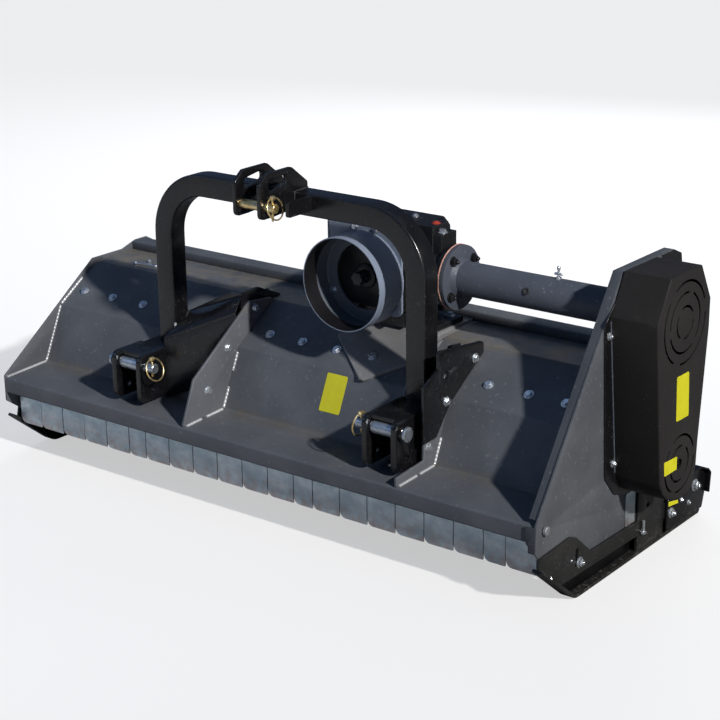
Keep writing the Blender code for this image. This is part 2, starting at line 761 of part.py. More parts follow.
def belt_back_plate():
    body = prism(back_outline(), *BACK_PLATE_X)
    # welded stud that carries the idler
    stud = turned(
        [(BACK_PLATE_X[0] + 0.001, 0.0180), (0.9300, 0.0180), (0.9350, 0.0120), (0.9355, 0.0077), (0.9940, 0.0077),
         (0.9950, 0.0067)], IDLER, "X", 16)
    return cut(
        union(body, stud),
        rod((ROTOR_Y, ROTOR_Z), 0.047, 0.90, 0.93, count=24),
        rod((SHAFT_Y, SHAFT_Z), 0.024, 0.90, 0.93, count=20),
    )


def cover_outline():
    # narrow hexagon over the drive pulley, tapering to a rounded foot round the rotor pulley
    return [
        (0.5150, 0.7700), (0.5670, 0.6780), (0.5670, 0.6050), (0.5560, 0.4900), (0.5380, 0.3160), (0.5350, 0.2510),
        (0.5225, 0.2120), (0.5090, 0.1930), (0.4570, 0.1870), (0.3930, 0.2060), (0.3660, 0.2290), (0.3480, 0.2610),
        (0.3040, 0.6450), (0.3030, 0.6720), (0.3590, 0.7715),
    ]


def arc_slot(centre, radius, start, sweep, width, count):
    inner = []
    outer = []
    for i in range(count + 1):
        angle = math.radians(start + sweep * i / count)
        for store, reach in ((inner, radius - width / 2), (outer, radius + width / 2)):
            store.append((centre[0] + reach * math.cos(angle), centre[1] + reach * math.sin(angle)))
    return prism(inner + list(reversed(outer)), COVER_OUT - 0.02, COVER_OUT + 0.02)


# Vent slots of the belt cover: ring radius, first angle, sweep
UPPER_VENT = (
    (0.1020, 22, 98), (0.1020, 142, 98), (0.1020, 262, 98),
    (0.0740, 80, 100), (0.0740, 200, 100), (0.0740, 320, 100),
    (0.0400, 30, 85), (0.0400, 150, 85), (0.0400, 270, 85),
)
LOWER_VENT = (
    (0.0730, 20, 98), (0.0730, 140, 98), (0.0730, 260, 98),
    (0.0450, 80, 85), (0.0450, 200, 85), (0.0450, 320, 85),
)


def belt_cover():
    outline = cover_outline()
    x0 = BACK_PLATE_X[1] + GAP
    shell = prism(outline, x0, COVER_OUT)
    # soft outer edge before the box is hollowed
    edges = [
        edge for edge in shell.edges
        if all(abs(vert.co.x - COVER_OUT) < 1e-6 for vert in edge.verts)
    ]
    bmesh.ops.bevel(shell, geom=edges, offset=0.005, segments=2, profile=0.5, affect="EDGES")
    hollow = prism(shifted_ring(outline, 0.003), x0 - 0.01, COVER_OUT - 0.003)
    upper = (0.4380, 0.6460)
    lower = (0.4440, 0.2850)
    tools = [hollow]
    for radius, start, sweep in UPPER_VENT:
        tools.append(arc_slot(upper, radius, start, sweep, 0.0046, 6))
    for radius, start, sweep in LOWER_VENT:
        tools.append(arc_slot(lower, radius, start, sweep, 0.0042, 6))
    tools.append(rod(lower, 0.0130, COVER_OUT - 0.02, COVER_OUT + 0.02, count=16))
    return cut(shell, *tools)


def shifted_ring(outline, inset):
    # closed outline moved inwards by the inset
    area = sum(
        outline[i][0] * outline[(i + 1) % len(outline)][1] - outline[(i + 1) % len(outline)][0] * outline[i][1]
        for i in range(len(outline))
    )
    side = -1 if area > 0 else 1
    looped = [outline[-1]] + outline + [outline[0]]
    return shifted(looped, side * inset)[1:-1]


# Ground gear


def skid(side):
    # upright plate on the end plate; below it a leg set back inwards with the sole turned outwards
    inner = (PLATE_RIGHT_X[1] if side > 0 else -PLATE_LEFT_X[0]) + GAP
    outer = inner + SKID_THICK
    leg_inner = 0.8870 if side > 0 else 0.8705
    if side > 0:
        front = [(0.142, 0.168), (0.004, 0.161), (0.001, 0.134), (0.104, 0.064)]
    else:
        front = [(0.142, 0.168), (0.054, 0.150), (0.043, 0.102), (0.104, 0.060)]
    plate = rounded(
        front + [(0.470, 0.0512), (0.470, 0.001), (0.605, 0.001), (0.605, 0.050), (0.690, 0.050), (0.690, 0.092),
                 (0.605, 0.092), (0.605, 0.187), (0.470, 0.187), (0.470, 0.092), (0.240, 0.096), (0.168, 0.158)],
        (0.004, 0.004, 0.004, 0, 0, 0, 0, 0, 0, 0.006, 0, 0.008, 0.008, 0, 0.010, 0.010), 3)
    upright = prism(plate, inner, outer)
    shelf = prism([(0.080, 0.074), (0.104, 0.0580), (0.690, 0.0480), (0.690, 0.0540), (0.104, 0.0660), (0.084, 0.0800)],
                  leg_inner, outer - 0.001)
    leg = prism([(0.022, 0.118), (0.162, 0.004), (0.798, 0.004), (0.798, 0.046), (0.690, 0.0500), (0.104, 0.0630)],
                leg_inner, leg_inner + 0.006)
    sole_run = rounded([(0.0145, 0.1190), (0.160, 0.000), (0.800, 0.000), (0.806, 0.008)], (0, 0.05, 0, 0), 3)
    sole = prism(sole_run + list(reversed(shifted(sole_run, -0.008))), leg_inner, outer + 0.004)
    slot = rounded([(0.1640, 0.080), (0.1780, 0.080), (0.1780, 0.130), (0.1640, 0.130)], [0.0068] * 4, 2)
    body = union(upright, shelf, leg, sole)
    body = cut(body, prism(slot, 0.880, 0.95), rod((0.5200, 0.120), 0.007, 0.85, 0.95, count=10))
    return body if side > 0 else mirrored(body)


def roller_bracket(side):
    inner = (PLATE_RIGHT_X[1] if side > 0 else -PLATE_LEFT_X[0]) + 2 * GAP + SKID_THICK
    plate = rounded(
        [(0.612, 0.0140), (0.8090, 0.0140), (0.822, 0.057), (0.827, 0.113), (0.812, 0.128), (0.772, 0.146),
         (0.700, 0.150), (0.612, 0.100)],
        (0.010, 0.006, 0, 0.006, 0.006, 0.010, 0.02, 0.012), 3)
    # stub axle that carries the roller end
    stub = rod((ROLLER_Y, ROLLER_RADIUS), 0.0140, 0.8500, inner + 0.004, count=18)
    body = union(prism(plate, inner, inner + BRACKET_THICK), stub)
    return body if side > 0 else mirrored(body)


def rear_roller():
    end, wall = ROLLER_HALF, 0.008
    profile = [(-end, 0.0148), (-end, ROLLER_RADIUS - 0.003), (0.003 - end, ROLLER_RADIUS),
               (end - 0.003, ROLLER_RADIUS), (end, ROLLER_RADIUS - 0.003), (end, 0.0148), (end - 0.040, 0.0148),
               (end - 0.040, ROLLER_RADIUS - wall), (0.040 - end, ROLLER_RADIUS - wall), (0.040 - end, 0.0148)]
    return ring_body(profile, (ROLLER_Y, ROLLER_RADIUS), "X", 28)


# Front flaps


def flap_rod():
    return turned(
        [(-0.9010, 0.0100), (-0.9000, 0.0110), (-0.8930, 0.0110), (-0.8928, ROD_RADIUS), (0.9110, ROD_RADIUS),
         (0.9112, 0.0115), (0.9180, 0.0115), (0.9190, 0.0100)], ROD, "X", 12)


def flap(x0, x1):
    # rolled eye round the rod, plate hanging from its back, lower left corner cut away
    y, z = ROD
    outer, inner = 0.0120, 0.0077
    hang = [(y + inner, 0.0), (y + outer, 0.0)]
    steps = 5
    rim = []
    for i in range(steps + 1):
        angle = -0.35 + (2 * math.pi - 0.65) * i / steps
        rim.append((y + outer * math.cos(angle), z + outer * math.sin(angle)))
    bore = []
    for i in range(steps + 1):
        angle = 2 * math.pi - 1.00 - (2 * math.pi - 1.00) * i / steps
        bore.append((y + inner * math.cos(angle), z + inner * math.sin(angle)))

    def section(x, bottom):
        foot = [(hang[0][0], bottom), (hang[1][0], bottom), (hang[1][0], z - 0.004)]
        return [Vector((x, a, b)) for a, b in foot + rim + bore]

    return loft([section(x0, FLAP_BOTTOM + 0.024), section(x0 + 0.005, FLAP_BOTTOM + 0.008),
                 section(x0 + 0.013, FLAP_BOTTOM), section(x1, FLAP_BOTTOM)])


def flap_edges():
    widths = [NARROW_SHARE if i in FLAP_NARROW else 1.0 for i in range(FLAP_COUNT)]
    first, last = FLAP_ROW
    unit = (last - first) / sum(widths)
    edges = [first]
    for width in widths:
        edges.append(edges[-1] + width * unit)
    return edges


def build():
    clear_scene()
    deck_paint = paint("deck_grey_paint", (0.062, 0.064, 0.072), 0.36, 0.35)
    black = paint("gloss_black_paint", (0.012, 0.012, 0.014), 0.24, 0.0)
    slate = paint("slate_grey_paint", (0.105, 0.115, 0.135), 0.34, 0.25)
    satin = paint("satin_black_cover", (0.022, 0.019, 0.018), 0.40, 0.0)
    zinc = paint("zinc_plate", (0.50, 0.55, 0.60), 0.34, 0.9)
    gold = paint("yellow_zinc", (0.62, 0.44, 0.15), 0.30, 0.9)
    cast = paint("black_cast_iron", (0.020, 0.020, 0.022), 0.42, 0.2)
    steel = paint("bright_steel", (0.46, 0.46, 0.47), 0.32, 1.0)
    rubber = paint("belt_rubber", (0.018, 0.018, 0.018), 0.75, 0.0)

    node("deck_shell", deck_shell(), deck_paint)
    node("end_plate_left", end_plate_left(), deck_paint)
    node("end_plate_right", end_plate_right(), deck_paint)
    node("rib_left", rib(RIB_LEFT, False), deck_paint, bevel=0.0012)
    node("rib_right", rib(RIB_RIGHT, True), deck_paint, bevel=0.0012)
    node("rear_beam", rear_beam(), deck_paint)
    node("rear_door", rear_door(), deck_paint, pivot=(0.0, 0.648, 0.492), smooth=True)
    node("gearbox_mount_plate", mount_plate(), slate)

    node("hitch_arch", union(hitch_arch(), side_lug()), black, smooth=True)
    node("hitch_bracket_left", hitch_bracket(True), black)
    node("hitch_bracket_right", hitch_bracket(False), black)
    node("top_link_plate_left", top_link_plate(-0.045), black)
    node("top_link_plate_right", top_link_plate(0.035), black)
    node("top_link_pin", pin(TOP_PIN, TOP_PIN_RADIUS, -0.0457, 0.0750), gold, smooth=True)
    node("lower_pin_left", pin(LOWER_PIN, LOWER_PIN_RADIUS, -0.4915, -0.3430), zinc, smooth=True)
    node("lower_pin_right", pin(LOWER_PIN, LOWER_PIN_RADIUS, 0.4915, 0.3430), zinc, smooth=True)
    node("linch_pin_top", linch_pin(0.0630, TOP_PIN, 0.30), gold, smooth=True)
    node("linch_pin_left", linch_pin(-0.3550, LOWER_PIN, 0.12), gold, smooth=True)
    node("linch_pin_right", linch_pin(0.3550, LOWER_PIN, -0.12), gold, smooth=True)

    node("pto_shield", pto_shield(), slate, smooth=True)
    node("gearbox_housing", gearbox_housing(), cast, smooth=True)
    node("input_shaft", input_shaft(), steel, pivot=(PTO_X, 0.300, SHAFT_Z), smooth=True)
    node("cross_tube", cross_tube(), slate, smooth=True)
    cross = empty("cross_axis", (0.700, SHAFT_Y, SHAFT_Z))
    cross["drawn"] = Vector((0.700, SHAFT_Y, SHAFT_Z))
    node("cross_shaft", cross_shaft(), steel, pivot=(0.700, SHAFT_Y, SHAFT_Z), smooth=True, mother=cross)
    node("drive_pulley", pulley(DRIVE_PULLEY, 0.0178, (SHAFT_Y, SHAFT_Z), PULLEY_X, GROOVES, PITCH, 0.032),
         cast, pivot=(0.700, SHAFT_Y, SHAFT_Z), smooth=True, mother=cross)
    axle = empty("rotor_axis", (0.0, ROTOR_Y, ROTOR_Z))
    axle["drawn"] = Vector((0.0, ROTOR_Y, ROTOR_Z))
    node("rotor", rotor(), cast, pivot=(0.0, ROTOR_Y, ROTOR_Z), smooth=True, mother=axle)
    node("driven_pulley", pulley(DRIVEN_PULLEY, 0.0203, (ROTOR_Y, ROTOR_Z), PULLEY_X, GROOVES, PITCH, 0.032),
         cast, pivot=(0.0, ROTOR_Y, ROTOR_Z), smooth=True, mother=axle)
    node("belt_set", belt_set(), rubber, smooth=True)
    node("belt_idler", idler(), steel, pivot=(0.960, *IDLER), smooth=True)
    node("bearing_left", bearing(PLATE_LEFT_X[0] - GAP, -0.9250, -1), cast, smooth=True)
    node("bearing_right", bearing(BACK_PLATE_X[1] + GAP, 0.9330, 1), cast, smooth=True)
    node("belt_back_plate", belt_back_plate(), black)
    node("belt_cover", belt_cover(), satin, smooth=True)

    for label, side in (("right", 1), ("left", -1)):
        node("skid_" + label, skid(side), black)
        node("roller_bracket_" + label, roller_bracket(side), black)
    node("rear_roller", rear_roller(), black, pivot=(0.0, ROLLER_Y, ROLLER_RADIUS), smooth=True)

    node("flap_rod", flap_rod(), zinc, smooth=True)
    edges = flap_edges()
    for i in range(FLAP_COUNT):
        middle = (edges[i] + edges[i + 1]) / 2
        before, after = [GAP if k in FLAP_CLOSE else 0.001 for k in (i, i + 1)]
        node("flap_%02d" % (i + 1), flap(edges[i] + before, edges[i + 1] - after), zinc, pivot=(middle, *ROD))


build()
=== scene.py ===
# Looks of the tractor mulcher: finer pieces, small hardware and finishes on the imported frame.
# Lengths are metres. Points are written in drawing coordinates (x from the middle of the
# hitch, y from the front of the deck lip, z from the ground) and moved by MIDDLE.
import json
import math

import bmesh
import bpy
from mathutils import Matrix, Vector


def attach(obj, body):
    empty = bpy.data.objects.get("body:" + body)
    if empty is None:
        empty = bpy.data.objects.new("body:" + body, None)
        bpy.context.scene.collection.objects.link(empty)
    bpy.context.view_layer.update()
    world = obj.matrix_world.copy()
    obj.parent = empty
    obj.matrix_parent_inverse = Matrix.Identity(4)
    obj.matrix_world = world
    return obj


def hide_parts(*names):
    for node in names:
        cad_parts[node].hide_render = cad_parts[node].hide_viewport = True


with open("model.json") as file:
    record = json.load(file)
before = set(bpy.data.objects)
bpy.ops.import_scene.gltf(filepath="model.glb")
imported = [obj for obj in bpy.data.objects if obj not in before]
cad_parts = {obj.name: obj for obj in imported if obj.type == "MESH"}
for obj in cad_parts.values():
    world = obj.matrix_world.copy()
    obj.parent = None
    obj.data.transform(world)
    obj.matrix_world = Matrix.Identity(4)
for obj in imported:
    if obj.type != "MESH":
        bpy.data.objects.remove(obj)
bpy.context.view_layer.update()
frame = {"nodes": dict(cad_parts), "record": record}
nodes = frame["nodes"]
body_of_node = {
    name: body for body, members in frame["record"]["behaviour"]["bodies"].items() for name in members
}
slot_of_node = {row["node"]: row["material_slot"] for row in frame["record"]["subparts"]}
MIDDLE = Vector((0.0465, 0.41125, 0.0))

# Deck section, as in the part
LIP_TOP = (0.0, 0.2417)
SEAM = (0.1588, 0.2477)
KNEE = (0.2308, 0.4045)
CREST = (0.3843, 0.5032)
DECK_X = (-0.8797, 0.9027)
RIB_LEFT = -0.190
RIB_RIGHT = 0.507
SHAFT = (0.434, 0.652)
ROTOR = (0.442, 0.288)
PTO_X = 0.190
LOWER_PIN = (0.063, 0.358)
TOP_PIN = (0.090, 0.856)
ROD = (0.031, 0.2245)
FLAP_ROW = (-0.868, 0.886)
COVER_X = 1.036
SKID_LEG_X = 0.893
SHIELD_RIM_SHADOW_DEPTH = 0.050
FILM = 0.0004
DECK_SHEET = 0.005
ARCH_TUBE = 0.060
FLAPS = 21
FLAILS = 20
FLAIL_TURN = math.radians(137.5)


# Finishes


def step(tree, kind, links=(), values=(), **settings):
    """Adds a node to a tree, wired and set; links and values name sockets."""
    node = tree.nodes.new(kind)
    for key, value in settings.items():
        setattr(node, key, value)
    for socket, source in links:
        tree.links.new(source, node.inputs[socket])
    for socket, value in values:
        node.inputs[socket].default_value = value
    return node


def math_step(tree, operation, *inputs):
    """Math node; each input is a number or the output of another node."""
    links = [(i, value) for i, value in enumerate(inputs) if not isinstance(value, float)]
    values = [(i, value) for i, value in enumerate(inputs) if isinstance(value, float)]
    return step(tree, "ShaderNodeMath", links, values, operation=operation).outputs[0]


class Finish:
    """Node material on one Principled shader, with helpers for its patterns."""

    def __init__(self, name, colour, roughness, metallic=0.0, coat=0.0, sheen=0.5):
        self.material = bpy.data.materials.new(name)
        self.material.use_nodes = True
        self.tree = self.material.node_tree
        self.shader = self.tree.nodes["Principled BSDF"]
        for socket, value in (("Base Color", (*colour, 1.0)), ("Roughness", roughness),
                              ("Metallic", metallic), ("Coat Weight", coat), ("Coat Roughness", 0.12),
                              ("Specular IOR Level", sheen)):
            self.shader.inputs[socket].default_value = value
        self.place = self.node("TexCoord").outputs["Object"]
        self.colour = None
        self.base = colour

    def node(self, kind, links=(), values=(), **settings):
        return step(self.tree, "ShaderNode" + kind, links, values, **settings)

    def noise(self, scale, detail=4.0, roughness=0.55, stretch=None):
        source = self.place
        if stretch:
            source = self.node("Mapping", [("Vector", source)], [("Scale", stretch)]).outputs["Vector"]
        values = [("Scale", scale), ("Detail", detail), ("Roughness", roughness)]
        return self.node("TexNoise", [("Vector", source)], values).outputs["Fac"]

    def band(self, value, low, high, to_low=0.0, to_high=1.0):
        values = [("From Min", low), ("From Max", high), ("To Min", to_low), ("To Max", to_high)]
        return self.node("MapRange", [("Value", value)], values).outputs["Result"]

    def times(self, first, second):
        return math_step(self.tree, "MULTIPLY", first, second)

    def tint(self, factor, colour):
        node = self.node("Mix", [("Factor", factor)], [("B", (*colour, 1.0))], data_type="RGBA")
        if self.colour is None:
            node.inputs["A"].default_value = (*self.base, 1.0)
        else:
            self.tree.links.new(self.colour, node.inputs["A"])
        self.colour = node.outputs["Result"]
        self.tree.links.new(self.colour, self.shader.inputs["Base Color"])

    def gloss(self, factor, low, high):
        self.tree.links.new(self.band(factor, 0.3, 0.7, low, high), self.shader.inputs["Roughness"])

    def bump(self, height, strength, distance):
        node = self.node("Bump", [("Height", height)], [("Strength", strength), ("Distance", distance)])
        self.tree.links.new(node.outputs["Normal"], self.shader.inputs["Normal"])

    def edges(self, radius):
        """1 on sharp outer edges, 0 on flats."""
        bevel = self.node("Bevel", values=[("Radius", radius)], samples=4)
        plain = self.node("NewGeometry")
        dot = self.node("VectorMath", [(0, bevel.outputs["Normal"]), (1, plain.outputs["Normal"])],
                        operation="DOT_PRODUCT")
        return self.band(dot.outputs["Value"], 0.985, 0.80)

    def along(self, axis):
        return self.node("SeparateXYZ", [("Vector", self.place)]).outputs[axis]

    def height(self, low, high):
        return self.band(self.along("Z"), low, high)

    def within(self, centre, radius):
        """1 closer than the radius to an axis that runs along Y through the centre (x, z)."""
        away = self.node("VectorMath", [(0, self.place)], [(1, (centre[0], 0.0, centre[1]))],
                         operation="SUBTRACT")
        flat = self.node("VectorMath", [(0, away.outputs["Vector"])], [(1, (1.0, 0.0, 1.0))],
                         operation="MULTIPLY")
        reach = self.node("VectorMath", [(0, flat.outputs["Vector"])], operation="LENGTH")
        return self.band(reach.outputs["Value"], radius + 0.0004, radius - 0.0004)

    def strip(self, axis, middle, half):
        """1 in the middle of a strip across an axis, fading to 0 at its edges."""
        away = math_step(self.tree, "SUBTRACT", self.along(axis), middle)
        return self.band(math_step(self.tree, "ABSOLUTE", away), half, 0.0)


def worked_paint(name, colour, light, worn, roughness, metallic, coat, grain, wear=0.5, dust=0.25, soil=0.0,
                 sheen=0.5, shade_strip_x=None):
    """Sprayed steel: cloudy colour, orange-peel bump, rubbed edges, dust low down, soil in the seam and,
    where asked, a strip of painted shade in the hollow under a shelf.
    """
    look = Finish(name, colour, roughness, metallic, coat, sheen)
    cloud = look.noise(5.5, 6.0)
    look.tint(look.times(look.band(cloud, 0.42, 0.68), 0.8), light)
    speck = look.noise(95.0, 3.0)
    look.tint(look.times(look.band(speck, 0.63, 0.72), 0.35), worn)
    rub = look.times(look.edges(0.0022), look.band(look.noise(38.0, 4.0), 0.40, 0.62))
    look.tint(look.times(rub, wear), worn)
    low = look.times(look.height(0.050, 0.0), look.band(look.noise(85.0, 6.0, 0.7), 0.54, 0.68))
    look.tint(look.times(low, dust * 2), (0.42, 0.41, 0.39))
    if soil:
        patchy = look.band(look.noise(16.0, 7.0, 0.65), 0.40, 0.62)
        seam = look.times(look.strip("Z", SEAM[1] + 0.004, 0.016), look.strip("Y", SEAM[0] - MIDDLE.y, 0.055))
        look.tint(look.times(look.times(seam, patchy), soil), (0.115, 0.100, 0.080))
        look.tint(look.times(look.times(look.strip("Z", CREST[1], 0.012), patchy), soil),
                  (0.150, 0.136, 0.112))
    # Painted shade: a near-black strip across x where the hollow under a shelf lies in shade.
    if shade_strip_x:
        look.tint(look.band(look.strip("X", shade_strip_x, 0.006), 0.3, 0.5), (0.0012, 0.0012, 0.0014))
    look.gloss(look.noise(14.0, 5.0), roughness - 0.06, roughness + 0.12)
    look.bump(look.noise(grain, 2.0), 0.10, 0.0006)
    return look.material


def plated(name, colour, second, roughness, scale, stretch=None, stain=None):
    """Zinc or bright metal with a cloudy bloom and fine scratches."""
    look = Finish(name, colour, roughness, 0.92)
    look.tint(look.band(look.noise(scale, 5.0, 0.6, stretch), 0.38, 0.66), second)
    if stain:
        low = look.times(look.height(0.165, 0.098), look.band(look.noise(46.0, 4.0), 0.35, 0.62))
        look.tint(look.times(low, 0.62), stain)
    look.tint(look.times(look.edges(0.0012), 0.5), (0.78, 0.80, 0.82))
    look.gloss(look.noise(70.0, 4.0), roughness - 0.08, roughness + 0.16)
    look.bump(look.noise(240.0, 3.0, 0.6, (1.0, 1.0, 0.15)), 0.12, 0.0005)
    return look.material


def casting(name, colour, light, roughness):
    """Painted cast iron: grainy, with rubbed edges."""
    look = Finish(name, colour, roughness, 0.0, 0.10, 0.3)
    look.tint(look.times(look.band(look.noise(22.0, 5.0), 0.4, 0.7), 0.7), light)
    look.tint(look.times(look.edges(0.003), 0.35), (0.08, 0.08, 0.085))
    look.gloss(look.noise(30.0, 4.0), roughness - 0.05, roughness + 0.15)
    look.bump(look.noise(190.0, 5.0, 0.65), 0.35, 0.0010)
    return look.material


def soft_plain(name, colour, light, roughness, grain=260.0):
    """Rubber, plastic, paper or film: cloudy, with a fine grain."""
    look = Finish(name, colour, roughness)
    look.tint(look.times(look.band(look.noise(30.0, 4.0), 0.4, 0.65), 0.6), light)
    look.gloss(look.noise(50.0, 3.0), roughness - 0.06, roughness + 0.10)
    look.bump(look.noise(grain, 3.0), 0.2, 0.0005)
    return look.material


deck_grey = worked_paint(
    "deck_grey_paint", (0.083, 0.090, 0.102), (0.116, 0.123, 0.136), (0.28, 0.29, 0.31), 0.48, 0.20, 0.0,
    420.0, soil=0.9, sheen=0.25)
end_grey = worked_paint(
    "end_plate_paint", (0.074, 0.080, 0.090), (0.104, 0.110, 0.121), (0.28, 0.29, 0.31), 0.48, 0.20, 0.0,
    420.0, sheen=0.25)
black_gloss = worked_paint(
    "gloss_black_paint", (0.0040, 0.0040, 0.0048), (0.0070, 0.0070, 0.0078), (0.060, 0.060, 0.060), 0.24,
    0.0, 0.15, 300.0, 0.40, 0.10)
slate = worked_paint(
    "slate_grey_paint", (0.056, 0.064, 0.084), (0.074, 0.084, 0.106), (0.26, 0.28, 0.32), 0.50, 0.15, 0.0,
    380.0, sheen=0.25)


def shield_paint():
    """Light slate outside; inside the drum a darker wall as painted shade, and a near-black band of painted
    shadow just behind the rim.
    """
    look = Finish("shield_drum_paint", (0.175, 0.210, 0.280), 0.46, 0.10, 0.0, 0.3)
    look.tint(look.times(look.band(look.noise(6.5, 6.0), 0.40, 0.66), 0.8), (0.215, 0.252, 0.320))
    look.tint(look.times(look.edges(0.0022), 0.4), (0.24, 0.28, 0.34))
    inside_shade = look.within((PTO_X - MIDDLE.x, SHAFT[1]), 0.1206)
    # Painted shade: the inside of the drum is darker than the outside.
    look.tint(inside_shade, (0.105, 0.122, 0.145))
    # Painted shadow: a near-black band on the inner wall, from the rim to about 50 mm deep.
    rim = look.strip("Y", 0.200 - MIDDLE.y, SHIELD_RIM_SHADOW_DEPTH + 0.004)
    look.tint(look.times(inside_shade, look.band(rim, 0.04, 0.10)), (0.0065, 0.0065, 0.0080))
    look.gloss(look.noise(14.0, 5.0), 0.40, 0.56)
    look.bump(look.noise(380.0, 2.0), 0.10, 0.0006)
    return look.material


shield_slate = shield_paint()
plate_grey = worked_paint(
    "mount_plate_paint", (0.155, 0.156, 0.160), (0.190, 0.191, 0.195), (0.34, 0.34, 0.35), 0.46, 0.15, 0.0,
    380.0, sheen=0.3)
cover_black = worked_paint(
    "satin_cover_paint", (0.0195, 0.0183, 0.0180), (0.0255, 0.0240, 0.0236), (0.06, 0.06, 0.06), 0.38, 0.0,
    0.0, 500.0, 0.30, 0.10, sheen=0.08)
# Skid paint with a strip of painted shade on the leg's outer face, under the shelf.
skid_grey = worked_paint(
    "skid_plate_paint", (0.0110, 0.0106, 0.0103), (0.0190, 0.0183, 0.0176), (0.11, 0.11, 0.11), 0.32, 0.0,
    0.05, 260.0, 0.60, 0.10, sheen=0.4, shade_strip_x=SKID_LEG_X - MIDDLE.x)
cast_black = casting("black_cast_iron", (0.0050, 0.0054, 0.0064), (0.0100, 0.0106, 0.0120), 0.34)
zinc_flap = plated(
    "zinc_flap_plate", (0.46, 0.57, 0.63), (0.74, 0.82, 0.86), 0.44, 13.0, (1.0, 1.0, 1.6),
    (0.50, 0.34, 0.29))
zinc_bolt = plated("zinc_bolt", (0.56, 0.60, 0.64), (0.72, 0.75, 0.78), 0.28, 60.0)
zinc_pin = plated("zinc_pin", (0.40, 0.45, 0.50), (0.60, 0.64, 0.68), 0.30, 26.0)
gold_zinc = plated("yellow_zinc", (0.80, 0.58, 0.22), (0.90, 0.74, 0.42), 0.26, 40.0)
bright = plated("bright_steel", (0.42, 0.42, 0.43), (0.60, 0.60, 0.60), 0.30, 80.0, (0.2, 1.0, 1.0))
# Light grey weld beads: partly the beads' own colour, partly a painted highlight that makes them read as
# bright lines.
weld_grey_and_highlight = worked_paint(
    "weld_bead_paint", (0.34, 0.35, 0.365), (0.56, 0.565, 0.575), (0.80, 0.80, 0.81), 0.30, 0.30, 0.3, 500.0)
weld_black = worked_paint(
    "weld_bead_black", (0.020, 0.020, 0.022), (0.034, 0.034, 0.036), (0.20, 0.20, 0.20), 0.32, 0.0, 0.4,
    500.0)
rubber = soft_plain("belt_rubber", (0.012, 0.012, 0.012), (0.024, 0.024, 0.024), 0.75)
red_plastic = soft_plain("red_plug_plastic", (0.30, 0.030, 0.018), (0.40, 0.05, 0.03), 0.40)
gasket_paper = soft_plain("gasket_paper", (0.50, 0.26, 0.20), (0.62, 0.40, 0.33), 0.7)
yellow_film = soft_plain("yellow_blank_film", (0.51, 0.48, 0.009), (0.57, 0.55, 0.015), 0.36, 120.0)
dark_steel = casting("scaled_steel", (0.030, 0.030, 0.032), (0.055, 0.053, 0.052), 0.5)


# Shape helpers


def linked(name, data):
    """New object in the scene."""
    item = bpy.data.objects.new(name, data)
    bpy.context.scene.collection.objects.link(item)
    return item


def shown(name, bm, finish, body="frame", slot=None, stands_for=(), smooth=35.0, bevel=0.0, segments=2,
          moved=True):
    """Turns a bmesh in drawing coordinates into a finished piece that rides on a body."""
    if moved:
        bmesh.ops.translate(bm, vec=-MIDDLE, verts=bm.verts)
    bmesh.ops.recalc_face_normals(bm, faces=bm.faces)
    mesh = bpy.data.meshes.new(name)
    bm.to_mesh(mesh)
    bm.free()
    piece = linked(name, mesh)
    mesh.materials.append(finish)
    if bevel > 0:
        change = piece.modifiers.new("soft edges", "BEVEL")
        change.width = bevel
        change.segments = segments
        change.limit_method = "ANGLE"
        change.angle_limit = math.radians(30)
        change.harden_normals = False
        applied(piece)
    if smooth:
        piece.data.shade_smooth()
        piece.data.set_sharp_from_angle(angle=math.radians(smooth))
    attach(piece, body)
    if stands_for:
        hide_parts(*stands_for)
        slot = slot or slot_of_node[stands_for[0]]


def applied(piece):
    """Bakes the modifiers of a piece into its mesh."""
    graph = bpy.context.evaluated_depsgraph_get()
    graph.update()
    mesh = bpy.data.meshes.new_from_object(piece.evaluated_get(graph))
    old = piece.data
    piece.modifiers.clear()
    piece.data = mesh
    mesh.name = piece.name
    bpy.data.meshes.remove(old)


def place(axis, a, u, v):
    """Point from a distance along an axis and the two coordinates across it."""
    if axis == "X":
        return Vector((a, u, v))
    if axis == "Y":
        return Vector((u, a, v))
    return Vector((u, v, a))


def skinned(rings, closed=False):
    """Joins each ring of corners to the next one; an open run gets flat ends."""
    bm = bmesh.new()
    loops = [[bm.verts.new(point) for point in ring] for ring in rings]
    count = len(loops[0])
    for first, second in zip(loops, loops[1:] + loops[:1] if closed else loops[1:]):
        for i in range(count):
            j = (i + 1) % count
            bm.faces.new((first[i], first[j], second[j], second[i]))
    if not closed:
        bm.faces.new(list(reversed(loops[0])))
        bm.faces.new(loops[-1])
    bmesh.ops.recalc_face_normals(bm, faces=bm.faces)
    return bm


def prism(outline, a0, a1, axis="X"):
    return skinned([[place(axis, a, u, v) for u, v in outline] for a in (a0, a1)])


def box(x, y, z):
    return prism([(y[0], z[0]), (y[1], z[0]), (y[1], z[1]), (y[0], z[1])], x[0], x[1])


def on_circle(centre, radius, angles):
    return [(centre[0] + radius * math.cos(a), centre[1] + radius * math.sin(a)) for a in angles]


def lathe(profile, centre, axis, count, closed=False):
    """Revolves (distance along the axis, radius) points; open profiles get flat caps."""
    angles = [2 * math.pi * (i + 0.5) / count for i in range(count)]
    return skinned([[place(axis, a, u, v) for u, v in on_circle(centre, radius, angles)]
                    for a, radius in profile], closed)


def merged(*parts):
    """Puts several bmeshes into one."""
    base = parts[0]
    for part in parts[1:]:
        mesh = bpy.data.meshes.new("joined")
        part.to_mesh(mesh)
        part.free()
        base.from_mesh(mesh)
        bpy.data.meshes.remove(mesh)
    return base


